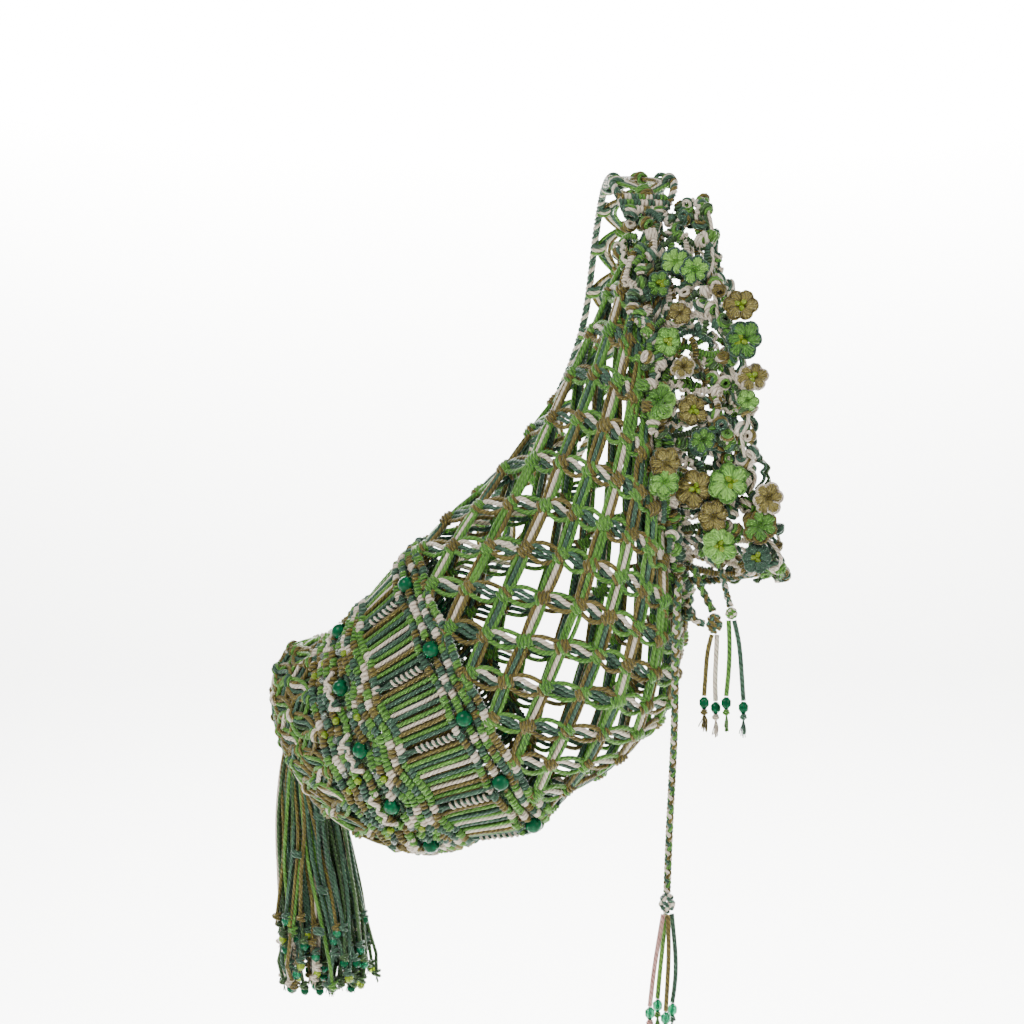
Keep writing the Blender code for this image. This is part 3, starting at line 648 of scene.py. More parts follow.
drawstring = {
    "sennit": 8.0 * mm, "thinSennit": 7.0 * mm, "cord": 4.5 * mm, "pitch": 17.0 * mm,
    "beadRadius": 5.0, "beadHalf": 6.0, "gap": 0.3, "fibres": 14,
    "long": ((32, -132.5, -371), (32, -140.5, -377), (31, -144.5, -390), (29.5, -143, -420),
             (28.5, -136, -506), (25, -131, -590), (22, -130, -664)),
    "loop": ((38.3, -118.2, -381.3), (39.2, -124, -390), (42, -131, -405), (48, -134.5, -415.5),
             (55.5, -134, -418)),
    "shortA": ((45.5, -132.4, -367.6), (46.5, -139.5, -369.5), (50, -143, -379), (56, -139, -392),
               (63.5, -134.5, -406.4)),
    "shortB": ((70.5, -134, -368.8), (71, -141, -370.5), (72.5, -145.5, -378), (75, -143.5, -389),
               (79, -140, -402)),
    "longKnot": (22, -130, -674.3, 8, 10), "shortKnot": (65, -134, -418, 8, 10),
    "smallKnot": (80, -139.5, -408.5, 6, 6),
    "longTails": (((18.4, -131.4), (15, -132, -704), (10, -133, -735), (6, -134, -768)),
                  ((21, -126), (19, -123, -710), (16, -121, -740), (14, -120, -764)),
                  ((22.5, -134.8), (23, -138, -712), (22, -140, -740), (20, -141, -771)),
                  ((26.5, -129.5), (28.5, -129, -705), (30, -128, -740), (27, -128, -766))),
    "shortTails": (((62.7, -134.4), (59.5, -135.5, -440), (57, -136, -462), (55.5, -136, -484)),
                   ((67.5, -133), (67, -132.5, -445), (66, -132, -470), (66.5, -131, -489)),
                   ((77.6, -139), (78.2, -139, -428), (78, -138.5, -455), (75.5, -138, -484)),
                   ((82.5, -140.5), (86.5, -141, -434), (89, -141, -460), (91, -140, -488))),
}


def spun(middle, side, third, angle, far):    # points that go round the middle
    return middle + side * (np.cos(angle) * far)[:, None] + third * (np.sin(angle) * far)[:, None]


def helix(path, reach, pitch, start):    # a strand that winds round a path
    side, third = pathFrames(path)[1:]
    angle = start + 2 * math.pi * lengths(path) / pitch
    return spun(path, side, third, angle, reach)


def braid(path, reach, pitch, number):    # one of four strands plaited round a path
    side, third = pathFrames(path)[1:]
    way = 1.0 if number % 2 else -1.0
    swing = 2 * math.pi * lengths(path) / pitch
    angle = way * swing + math.pi * (number // 2) + (0.0 if number % 2 else math.pi / 2)
    far = reach * (1.0 + 0.3 * way * np.sin(2 * swing))
    return spun(path, side, third, angle, far)


def joined(name, parts):    # several colours of cord as one object
    shape, mesh = bmesh.new(), bpy.data.meshes.new(name)
    for number, part in enumerate(parts):
        before = len(shape.faces)
        shape.from_mesh(part.data)
        shape.faces.ensure_lookup_table()
        for face in shape.faces[before:]:
            face.material_index = number
        mesh.materials.append(part.data.materials[0])
        old = part.data
        bpy.data.objects.remove(part, do_unlink=True)
        bpy.data.meshes.remove(old)
    shape.to_mesh(mesh)
    shape.free()
    return newItem(name, mesh)


def windBall(centre, radius, half, turns, tilt, thick):    # cord wound on a knot's core
    share = np.linspace(0.0, 1.0, int(turns * 14))
    fall, spin = 0.35 + share * (math.pi - 0.7), share * turns * 2 * math.pi
    points = np.stack([np.sin(fall) * np.cos(spin), np.sin(fall) * np.sin(spin), np.cos(fall)], axis=1)
    points = np.array([turned(p, (0.3, 1.0, 0.1), tilt) for p in points])
    return np.array(centre) + points * (np.array([radius, radius, half]) - thick)


def drawstringKnot(name, knot, node, colours):
    x, y, z, radius, half = np.array(knot) * mm
    parts = [cordMesh(name + str(n), [windBall((x, y, z), radius, half, turns, tilt, 2.0 * mm)],
                      2.0 * mm, 7, yarns[colour])
             for n, (colour, turns, tilt) in enumerate(zip(colours, (3.4, 2.3), (0.5, -0.9)))]
    return settle(joined(name, parts), colours[0], node)


def sennitCord(name, route, node, colours, thick=drawstring["sennit"]):
    path = smoothRoute(np.array(route, dtype=float) * mm, 2.0 * mm)
    gone = lengths(path)
    fine = naturalCubic(gone, path)(np.linspace(0.0, gone[-1], int(gone[-1] / (1.2 * mm))))
    strands = [cordMesh(name + str(number), [braid(fine, 0.24 * thick, drawstring["pitch"], number)],
                        0.215 * thick, 6, yarns[colour]) for number, colour in enumerate(colours)]
    item = settle(joined(name, strands), colours[0], node)
    tuple(path[0])
    [tuple(p) for p in path]


def frayedEnd(name, spot, colour):    # the knot under a bead and the loose fibres below it
    x, y, z = spot
    knot = cordMesh(name + "Knot", [windBall((x, y, z - 2.6 * mm), 3.6 * mm, 3.4 * mm, 2.2, 0.4, 1.4 * mm)],
                    1.5 * mm, 6, yarns[colour])
    strands = []
    for _ in range(drawstring["fibres"]):
        a, spread = chance.uniform(0, 2 * math.pi), chance.uniform(0.5, 4.5) * mm
        drop = chance.uniform(11, 17) * mm
        share = np.linspace(0, 1, 6)[:, None]
        away = np.array([math.cos(a), math.sin(a), 0.0]) * spread
        strands.append(np.array([x, y, z - 4.5 * mm])
                       + away * share ** 0.7 * (1.0 + 0.3 * np.sin(5 * share + a))
                       + np.array([0, 0, -1.0]) * drop * share)
    fibres = cordMesh(name + "Fibres", strands, 0.55 * mm, 4, yarns[colour])
    return joined(name, [knot, fibres])


def hangTails(title, knots, tables, colours, glassName):
    for number, (knot, route, colour) in enumerate(zip(knots, tables, colours), start=1):
        x, y, z, radius, half = knot
        inset = max(0.0, math.hypot(route[0][0] - x, route[0][1] - y) - 2.25) / radius
        top = z - half * math.sqrt(1 - inset ** 2) - drawstring["gap"]
        path = smoothRoute(np.array([(*route[0], top), *route[1:]], dtype=float) * mm, 3.0 * mm)
        name = "%sTail%d" % (title, number)
        tail = cordMesh(name, [path], drawstring["cord"] / 2, 8, yarns[colour])
        end = np.array(route[-1]) * mm
        spot = end - np.array([0, 0, drawstring["beadHalf"] + drawstring["gap"]]) * mm
        size = np.array([drawstring["beadRadius"]] * 2 + [drawstring["beadHalf"]]) * mm
        beadItem = scatter(name + "Bead", [(spot, (0, -1, 0), (0.05, 0.02, 1.0), size)],
                           units["facetBead"], glassName, "drawstring_%s_bead_%d" % (title, number))
        fray = frayedEnd(name + "End", spot - np.array([0, 0, drawstring["beadHalf"] * mm]), colour)
        settle(tail, colour, "drawstring_%s_tail_%d" % (title, number))
        settle(fray, colour)
        tuple(path[0])
        float(lengths(path)[-1])
        [tuple(p) for p in path]


def makeDrawstring():
    d = drawstring
    longKnot = drawstringKnot("DrawLongKnot", d["longKnot"], "drawstring_long_knot", ("spruce", "cream"))
    shortKnot = drawstringKnot("DrawShortKnot", d["shortKnot"], "drawstring_short_knot", ("olive", "spruce"))
    smallKnot = drawstringKnot("DrawSmallKnot", d["smallKnot"], "drawstring_small_knot",
                               ("lightGreen", "cream"))
    sennitCord("DrawLong", d["long"], "drawstring_long", ("spruce", "lightGreen", "cream", "olive"))
    sennitCord("DrawLoop", d["loop"], "drawstring_loop", ("spruce", "olive", "cream", "spruce"))
    sennitCord("DrawShortA", d["shortA"], "drawstring_short_a", ("spruce", "olive", "forest", "lightGreen"))
    sennitCord("DrawShortB", d["shortB"], "drawstring_short_b", ("cream", "spruce", "olive", "spruce"),
               drawstring["thinSennit"])
    colours = ("cream", "lightGreen", "olive", "spruce")
    hangTails("long", [d["longKnot"]] * 4, d["longTails"], ("rose",) + colours[1:], "aqua")
    hangTails("short", [d["shortKnot"]] * 2 + [d["smallKnot"]] * 2, d["shortTails"],
              ("olive", "cream", "lightGreen", "spruce"), "bottle")
    print("drawstring ready")


makeDrawstring()


net = {
    "knotsRound": 15, "phase": -0.25,
    "rings": (11.64, 10.7, 9.8, 8.9, 7.95, 7.05, 6.0, 4.85, 3.65, 2.5, 1.35),
    "steps": (0.6, 0.6, 0.6, 0.7, 0.7, 0.78, 0.8, 0.8, 0.78, 0.75),    # each ring's turn on the one before
    "wrapPitch": 3.6 * mm, "stack": (0.84, 0.0, 0.54),    # wraps stack up to the right
    "taut": ((-4.2, 0.0), (-0.3, 1.0), (1.0, -2.8), (4.2, 0.2)),    # across and lift, mm
    # across at the knots, further at the middle, lift, and how far it snakes
    "slack": ((-2.4, -6.4, 0.4, 0.4), (-0.9, -1.8, -1.3, 2.5), (0.9, 1.8, 1.5, 2.8), (2.4, 6.4, 0.6, 0.4)),
    "steepness": 0.66, "nearSide": 0.21,
    "rimAt": 0.12, "bandAt": 12.14,    # where its last and first cords end, under the rim and the band
    # taken in turn: a link's two outer cords, a knot's wraps of its two colours, and the cords
    # that come out of the band
    "outer": (("lightGreen", "lightGreen"), ("olive", "olive"), ("lightGreen", "olive"),
              ("olive", "lightGreen"), ("lightGreen", "lightGreen")),
    "wraps": ((0, 0, 0, 0), (0, 1, 0, 0), (0, 0, 1, 0), (1, 0, 0, 0), (0, 0, 1, 1)),
    "start": (("lightGreen", "spruce", "olive", "olive"), ("olive", "lightGreen", "spruce", "lightGreen")),
}


def linkCords(routes, a, b, out, slack, colours, scale=1.0, points=8):
    # one link of the net: taut cords side by side, or slack ones that bow apart
    share = np.linspace(0.0, 1.0, points)[:, None]
    chord = b - a
    across = unit(np.cross(out, chord))
    if across[2] < 0:
        across = -across
    swell = np.sin(math.pi * share)
    wobble = chance.uniform(0.75, 1.2)
    for (near, more, lift, snake), colour in zip(net["slack"], colours) if slack else \
            zip([(w, None, l, 0.0) for w, l in net["taut"]], colours):
        if slack:
            offset = (near + more * swell * wobble + snake * np.sin(2 * math.pi * share)) * mm * scale
            sag = -abs(more) * 0.12 * swell * mm
        else:
            offset = near * (0.6 + 0.4 * np.sqrt(swell)) * mm * scale + chance.uniform(-0.6, 0.6) * mm * swell
            sag = chance.uniform(-0.6, 0.2) * swell * mm
        lifted = (lift + chance.uniform(-0.4, 0.6)) * mm * (0.4 + 0.6 * swell)
        routes[colour].append(a + chord * share + across * offset + out * lifted
                              + np.array([0.0, 0.0, 1.0]) * sag)


def knotWraps(spots, place, out, up, colours, pitch, size=1.0):
    count = len(colours)
    for n, colour in enumerate(colours):
        offset = (n - (count - 1) / 2) * pitch
        shrink = size * (1.0 if 0 < n < count - 1 else 0.9) * chance.uniform(0.95, 1.05)
        tip = turned(up, out, chance.uniform(-0.09, 0.09))
        spots[colour].append((place + up * offset, out, tip, shrink))


def makeNet():
    around = net["knotsRound"]
    turns = net["phase"] + np.concatenate([[0.0], np.cumsum(net["steps"])])
    rings = [None] + list(zip(net["rings"], turns))

    def knot(ring, step, lift=0.0):
        t, phase = rings[ring]
        s = (step + phase) / around
        return onBag(t, s, lift), *bagFrame(t, s)

    routes, spots = perYarn(), perYarn()
    last = len(rings) - 1
    ends = [(j, k, j + 1, k + side) for j in range(1, last) for k in range(around) for side in (0, -1)]
    ends += [(last, k, last, k + 1) for k in range(around)]
    for j, k, j2, k2 in ends:
        a, outA, _ = knot(j, k)
        b, outB, _ = knot(j2, k2)
        round1 = ((k + rings[j][1]) / around + 0.5) % 1.0 - 0.5
        if abs(round1) < net["nearSide"] and j2 > j:
            slack = k2 == k
        else:
            slack = abs(b[2] - a[2]) / np.linalg.norm(b - a) < net["steepness"]
        outer = net["outer"][(3 * j + 2 * k) % 5]
        if slack:
            inner = ("spruce", "cream") if (2 * k + j) % 5 < 3 else ("spruce", "spruce")
        else:
            inner = ("cream", "spruce") if (k + 2 * j) % 5 < 2 else \
                ("spruce", "spruce") if (k + j) % 3 else ("lightGreen", "spruce")
        linkCords(routes, a, b, unit(outA + outB), slack, (outer[0],) + inner + (outer[1],))
    for j in range(1, last + 1):
        for k in range(around):
            place, out, mouthward = knot(j, k, 0.3 * mm)
            lean = np.array(net["stack"]) * (1.0 if mouthward @ net["stack"] > 0 else -1.0)
            up = turned(unit(lean - out * (lean @ out)), out, chance.uniform(-0.3, 0.3))
            pair = ("lightGreen", "olive") if j % 2 else ("olive", "lightGreen")
            mix = [pair[which] for which in net["wraps"][(3 * k + j) % 5]]
            knotWraps(spots, place, out, up, mix, net["wrapPitch"])
    for k in range(around):    # the first knots' cords come up out of the beaded band
        b, out, _ = knot(1, k)
        s = (k + rings[1][1]) / around
        for side in (-0.36, -0.12, 0.12, 0.36):
            a = onBag(net["bandAt"], s + side / around, 0.6 * mm)
            linkCords(routes, a, b, out, False, net["start"][k % 2], 0.42, 5)
    for k in range(around):    # the last knots' cords go up to the rim, two and two
        a, out, _ = knot(last, k)
        s = (k + rings[last][1]) / around
        for side, colours in ((-0.27, ("lightGreen", "spruce")), (0.27, ("cream", "olive"))):
            b = onBag(net["rimAt"], s + side / around)
            share = np.linspace(0.0, 1.0, 6)[:, None]
            across = unit(np.cross(out, b - a))
            for offset, colour in zip((-1.9, 1.9), colours):
                routes[colour].append(a + (b - a) * share + across * offset * mm * (0.7 + 0.3 * share))
    layEach("NetCords", routes, "net_body")
    scatterEach("NetKnots", spots, units["netWrap"], "net_body")
    print("net ready", {c: len(r) for c, r in routes.items() if r})


makeNet()


bands = {
    "periods": 10, "steps": 721,
    # rows: a row's core, and its distance from the beads' line towards the net, between beads
    # and beside one, mm
    "upper": {"from": 11.9, "to": 13.2, "beadT": 12.72, "beadS": 0.2, "size": 0.93, "under": 130,
              "rows": (("spruce", 17.0, 20.5), ("olive", 8.5, 12.0), ("olive", 0.0, 0.0),
                       ("spruce", -7.5, -11.5))},
    # beads push the rows apart, by mm and within so much of t; the first zigRows rows and the
    # others zigzag the opposite way, mm
    "lower": {"from": 14.72, "to": 16.4, "beadT": 15.6, "beadS": -0.08, "size": 1.06, "under": 104,
              "rows": 9, "push": 7.5, "pushReach": 0.3, "zigRows": 4, "zig": (-6.0, 4.0)},
    "hitchStep": 8.0 * mm, "beadRadius": 8.0 * mm, "clear": 9.8 * mm,
    # the small beads' t, and their place from one large bead to the next
    "small": {"lime": ((15.95, 0.42), (15.35, 0.55), (16.2, 0.56)),
              "water": ((15.55, 0.46), (16.08, 0.7), (16.1, 0.27))},
    # the loose cream cord's path round a large bead: aside, in spacings, and towards the base, mm
    "looseCord": ((-0.3, 5.0), (-0.22, 17.0), (-0.1, 10.5), (0.0, 15.5), (0.1, 10.5), (0.22, 17.0),
                  (0.3, 5.0)),
}
ladder = {"from": 13.08, "to": 14.8, "slots": 13, "spiralPitch": 5.6 * mm, "drift": 0.27,
          "order": ("olive", "lightGreen", "spruce", "lightGreen", "cream", "spruce", "lightGreen", "cream",
                    "olive", "lightGreen", "spruce")}
cap = {"knots": 15, "rings": (16.5, 16.95, 17.35, 17.72), "phase": 0.2, "scale": 1.12, "start": 16.3,
       "end": 18.36, "pole": 18.35, "under": (16.35, 18.2, 60)}


def slide(t, s, distance):    # t after a walk towards the base
    speed = np.linalg.norm(onBag(t + 0.04, s) - onBag(t - 0.04, s), axis=-1) / 0.08
    return t + distance / speed


def nearBead(s, phase):    # 1 at a bead's s, 0 halfway between two
    q = (s * bands["periods"] - phase + 0.5) % 1.0 - 0.5
    return 1.0 - 2.0 * np.abs(q)


def beadPlaces(part, lift):
    s = (np.arange(bands["periods"]) + part["beadS"]) / bands["periods"]
    t = np.full(len(s), part["beadT"])
    return t, s, onBag(t, s, lift)


def pick(weights):
    names = list(weights)
    odds = np.array([weights[n] for n in names], dtype=float)
    return names[int(chance.choice(len(names), p=odds / odds.sum()))]


def ladderColour(turns, loose):    # the colour of the ladder's cord nearest a place, or a chance one
    if chance.uniform() < loose:
        return pick({"spruce": 4, "lightGreen": 4, "olive": 3, "cream": 1})
    slot = int((turns % 1.0) * ladder["slots"] - 0.35)
    return (("cream", "spruce") + ladder["order"])[min(slot, ladder["slots"] - 1)]


def hitchedLine(spots, routes, t, s, beads, size, colourAt, core):
    # a row of double half hitches along a line on the bag, kept clear of the beads
    line = onBag(t, s, 0.6 * mm)
    gone = lengths(line)
    count = max(1, int(round(gone[-1] / (bands["hitchStep"] * size))))
    wanted = (np.arange(count) + 0.5) / count * gone[-1]
    places = columnsAt(wanted, gone, line)
    ahead = unit(columnsAt(wanted, gone, np.gradient(line, axis=0)))
    outs = unit(sample(outwards, np.interp(wanted, gone, t), np.interp(wanted, gone, s)))
    for place, along, out, at in zip(places, ahead, outs, np.interp(wanted, gone, s)):
        if len(beads) and np.min(np.linalg.norm(beads - place, axis=1)) < bands["clear"]:
            continue
        colour = colourAt(at)
        grown = size * chance.uniform(0.94, 1.08)
        spots[colour].append((place + out * chance.uniform(-1.4, 1.6) * mm, out,
                              turned(np.cross(along, out), out, chance.uniform(-0.22, 0.22)), grown))
    even = np.linspace(0, gone[-1], max(8, int(gone[-1] / (6 * mm))))
    routes[core].append(columnsAt(even, gone, line) - columnsAt(even, wanted, outs) * 1.2 * mm)


def underCords(routes, start, end, count):    # the cords that the hitches are tied with
    share = np.linspace(0.0, 1.0, 6)
    for k in range(count):
        s = (k + chance.uniform(-0.2, 0.2)) / count
        colour = pick({"spruce": 4, "olive": 3, "forest": 3})
        routes[colour].append(onBag(start + (end - start) * share, s, -chance.uniform(2.6, 3.6) * mm))


def finishBand(title, node, spots, routes):
    scatterEach(title + "Hitches", spots, units["hitch"], node)
    layEach(title + "Cores", routes, node)


def bigBeads(title, part, node):
    t, s, places = beadPlaces(part, 2.4 * mm)
    outs, ups = bagFrame(t, s)
    scatter(title, [(p, o, turned(u, o, chance.uniform(-0.2, 0.2)), bands["beadRadius"])
                    for p, o, u in zip(places, outs, ups)], units["bead"], "bottle", node)
    return places


def makeUpperBand():
    part, node = bands["upper"], "bead_band_upper"
    beads = bigBeads("BandBeadsUpper", part, node)
    spots, routes = perYarn(), perYarn()
    s = np.linspace(0.0, 1.0, bands["steps"])
    bow = nearBead(s, part["beadS"])
    for row, (core, apart, beside) in enumerate(part["rows"]):
        reach = apart + (beside - apart) * bow
        t = slide(np.full_like(s, part["beadT"]), s, -reach * mm)

        def colourAt(at, row=row):
            shift = 0.09 * (3 - row)
            return ladderColour((at * bands["periods"] - part["beadS"]) + shift, 0.3)
        hitchedLine(spots, routes, t, s, beads, part["size"], colourAt, core)
    underCords(routes, part["from"], part["to"], part["under"])
    finishBand("UpperBand", node, spots, routes)
    print("upper band ready")


def makeLowerBand():
    part, node = bands["lower"], "bead_band_lower"
    beads = bigBeads("BandBeadsLower", part, node)
    spots, routes = perYarn(), perYarn()
    s = np.linspace(0.0, 1.0, bands["steps"])
    bow = nearBead(s, part["beadS"])
    small = []
    for kind, rule in bands["small"].items():
        places = []
        for t0, q in rule:
            for k in range(bands["periods"]):
                at = (k + part["beadS"] + q) / bands["periods"]
                t1 = t0 + chance.uniform(-0.06, 0.06)
                out, up = bagFrame(t1, at)
                places.append((onBag(t1, at, 3.0 * mm), out, turned(up, out, chance.uniform(-0.8, 0.8)),
                               4.0 * mm))
        scatter(titled("SmallBeads", kind), places, units["facetBead"], kind, node)
        small += [p[0] for p in places]
    small = np.array(small)
    for row in range(part["rows"]):
        t0 = part["from"] + 0.05 + (part["to"] - part["from"] - 0.1) * row / (part["rows"] - 1)
        away = t0 - part["beadT"]
        push = math.copysign(part["push"] * math.exp(-(away / part["pushReach"]) ** 2), away)
        zig = part["zig"][row >= part["zigRows"]]
        t = slide(np.full_like(s, t0), s, (push * bow ** 1.2 + zig * (bow - 0.5)) * mm)
        t = np.clip(t, part["from"] - 0.12, part["to"] + 0.06)

        def colourAt(at, row=row):
            q = (at * bands["periods"] - part["beadS"] + 0.5) % 1.0 - 0.5
            if row < part["zigRows"]:
                return ladderColour(at * bands["periods"] - part["beadS"] - 0.27 - 0.1 * row, 0.3)
            if abs(q) > 0.26:
                return pick({"lightGreen": 5, "olive": 4, "cream": 1.2, "spruce": 1.5})
            return pick({"spruce": 5, "lightGreen": 3, "olive": 2, "cream": 1.6})
        hitchedLine(spots, routes, t, s, beads, part["size"], colourAt, ("spruce", "olive")[row % 2])
    for colour in spots:    # no hitch where a small bead sits
        spots[colour] = [spot for spot in spots[colour]
                         if np.min(np.linalg.norm(small - spot[0], axis=1)) > 4.4 * mm]
    for k in range(bands["periods"]):    # a loose cream cord runs round each bead in an M
        q = np.linspace(-0.3, 0.3, 26)
        at = (k + part["beadS"] + q) / bands["periods"]
        down = np.interp(q, *zip(*bands["looseCord"])) * mm
        t = slide(np.full_like(at, part["beadT"]), at, down)
        routes["cream"].append(onBag(t, at, (4.6 + 0.8 * np.sin(q * 30)) * mm))
    underCords(routes, part["from"], part["to"], part["under"])
    finishBand("LowerBand", node, spots, routes)
    print("lower band ready")


def makeLadder():
    # straight cords side by side between the two bands, with one spiral for each bead
    routes = perYarn()
    spirals = {"cream": [], "spruce": []}
    share = np.linspace(0.0, 1.0, 9)
    swell = np.sin(math.pi * share)
    t = ladder["from"] + (ladder["to"] - ladder["from"]) * share
    drift = bands["lower"]["beadS"] - bands["upper"]["beadS"] + ladder["drift"]
    for k in range(bands["periods"]):
        for slot, colour in enumerate(("spiral",) + ladder["order"]):
            place = 1.0 if slot == 0 else slot + 1.5
            at = (k + bands["upper"]["beadS"] + (place + 0.35) / ladder["slots"]) / bands["periods"]
            s = at + share * drift / bands["periods"]
            s = s + chance.uniform(-0.0008, 0.0008) + chance.uniform(-0.0012, 0.0012) * swell
            lift = (chance.uniform(-1.6, 1.2) + chance.uniform(0.2, 1.6) * swell) * mm
            if slot:
                routes[colour].append(onBag(t, s, lift))
                continue
            fine = np.linspace(0.0, 1.0, 90)
            core = onBag(np.interp(fine, share, t), np.interp(fine, share, s), 1.6 * mm)
            spirals["cream"].append(helix(core[18:70], 3.0 * mm, ladder["spiralPitch"], 0.0))
            spirals["spruce"].append(helix(core[::3], 1.6 * mm, 40 * mm, 0.0))
            spirals["spruce"].append(helix(core[::3], 1.6 * mm, 40 * mm, math.pi))
    for k in range(bands["periods"] * ladder["slots"]):    # more of the same behind
        at = (k + 0.2) / ladder["slots"] / bands["periods"]
        colour = pick({"spruce": 3, "olive": 3, "forest": 4})
        routes[colour].append(onBag(t, at + share * drift / bands["periods"], -chance.uniform(3.4, 4.6) * mm))
    layEach("Ladder", routes, "cord_ladder", radius=2.0 * mm, sides=7)
    for colour, runs in spirals.items():
        layCords(titled("LadderSpiral", colour), runs, colour, "cord_ladder",
                 radius=(1.4 if colour == "cream" else 1.8) * mm)
    print("ladder ready")


def poleFrame():    # the middle of the bag's round end, and the way out of it
    row = stationAt(cap["pole"])[0]
    lean, tilt = math.radians(row[4]), math.radians(row[7])
    out = [-math.cos(lean) * math.cos(tilt), math.sin(tilt), -math.sin(lean) * math.cos(tilt)]
    return row[:3] * mm, unit(out)


def makeCap():
    # knotted loops over the base's round end, then cords that run in under the collar
    around, scale = cap["knots"], cap["scale"]
    pole, poleOut = poleFrame()
    routes, spots = perYarn(), perYarn()

    def knot(ring, step):
        s = (step + cap["phase"] + 0.5 * ring) / around
        out, up = bagFrame(cap["rings"][ring], s)
        return onBag(cap["rings"][ring], s, 0.5 * mm), out, up

    for ring in range(len(cap["rings"])):
        for step in range(around):
            place, out, up = knot(ring, step)
            mix = (("olive", "lightGreen", "olive"), ("lightGreen", "spruce", "lightGreen"),
                   ("lightGreen", "cream", "olive"))[(step + ring) % 3]
            knotWraps(spots, place, out, turned(up, out, chance.uniform(-0.7, 0.7)), mix, 3.5 * mm,
                      1.0 if ring < 3 else 0.72)
            if ring == 0:
                s = (step + cap["phase"]) / around
                for side in (-0.3, 0.3):
                    start = onBag(cap["start"], s + side / around)
                    linkCords(routes, start, place, out, False,
                              ("lightGreen", "spruce", "cream", "olive")[::1 if side > 0 else -1], 0.4, 5)
            if ring + 1 < len(cap["rings"]):
                for side in (0, -1):
                    b, outB, _ = knot(ring + 1, step + side)
                    mix = (("olive", "spruce", "cream", "lightGreen"),
                           ("lightGreen", "forest", "spruce", "olive"),
                           ("olive", "spruce", "lightGreen", "olive"))[(step + 2 * ring + side) % 3]
                    linkCords(routes, place, b, unit(out + outB), True, mix, scale * (1.0, 1.0, 0.85)[ring])
            else:
                for side in (-0.25, 0.25):
                    s = (step + cap["phase"] + 0.5 * ring) / around
                    share = np.linspace(0.0, 1.0, 10)
                    t = cap["rings"][ring] + (cap["end"] - cap["rings"][ring]) * share
                    colour = pick({"olive": 4, "lightGreen": 4, "spruce": 4, "cream": 1})
                    run = onBag(t, s + side / around * np.minimum(1, share * 4),
                                chance.uniform(-1, 1) * mm * np.sin(math.pi * share))
                    under = run[-1] + (pole + poleOut * 3 * mm - run[-1]) * 0.55
                    routes[colour].append(np.vstack([run, under]))
    underCords(routes, *cap["under"])
    layEach("BaseNetCords", routes, "base_net")
    scatterEach("BaseNetKnots", spots, units["netWrap"], "base_net")
    print("base net ready")


makeUpperBand()
makeLadder()
makeLowerBand()
makeCap()


collar = {"radius": 18.0, "taper": 0.86, "length": 22.0, "seat": 3.3, "cord": 2.2, "coils": 1.8}
tassel = {
    "rows": ((-330.6, 54, -549.4, 17, 14), (-329, 58, -580, 25, 19), (-324, 60, -610, 32, 23),
             (-318, 60, -660, 38, 27), (-312, 59, -710, 45, 31), (-309, 58, -750, 51, 35),
             (-308, 57, -785, 45, 31), (-308, 57, -796, 28, 19)),
    "cords": 175, "shortest": -712.0, "longest": -786.0, "radius": 2.0 * mm, "packed": 0.97,
    "sway": 0.07, "wander": 0.35, "beadSize": (4.6, 4.6, 4.8), "fibres": 5,
    # the tassel leans to the dark yarns: partly its own cords, partly painted shade for the shadow the wearer
    # casts on it
    "colours": {"spruce": 4.0, "lightGreen": 1.1, "olive": 3.4, "forest": 4.4, "cream": 0.9},
    "oddKnots": ((-618, 1.2), (-655, 4.3), (-690, 1.4), (-730, 4.7)),    # height and turn, half way down
    "goldenTurn": 2.39996,
}


def makeCollar():
    pole, out = poleFrame()
    pole = pole + out * collar["seat"] * mm
    side = unit(np.cross(out, (0.0, 0.0, 1.0)))
    third = np.cross(out, side)
    for number, colour in enumerate(("spruce", "olive")):    # two cords wound side by side
        turns = collar["length"] / (4 * collar["cord"])
        share = np.linspace(0.0, 1.0, 90)
        angle = 2 * math.pi * (turns * share + number / 2)
        far = (collar["radius"] * (1 - (1 - collar["taper"]) * share) - collar["cord"]) * mm
        height = (collar["cord"] + share * (collar["length"] - 2 * collar["cord"])) * mm
        runs = [spun(pole + out * height[:, None], side, third, angle, far)]
        share = np.linspace(0.0, 1.0, 60)    # and coiled in flat at both ends
        for height in (1.0, collar["length"] - 1.0):
            angle = 2 * math.pi * (share * collar["coils"] + number / 2)
            far = (collar["radius"] * collar["taper"] - 3.5) * (1 - share * 0.9) * mm
            runs.append(spun(pole + out * height * mm, side, third, angle, far))
        layCords(titled("Collar", colour), runs, colour, "base_collar",
                 radius=collar["cord"] * mm, sides=7)
    print("collar ready")


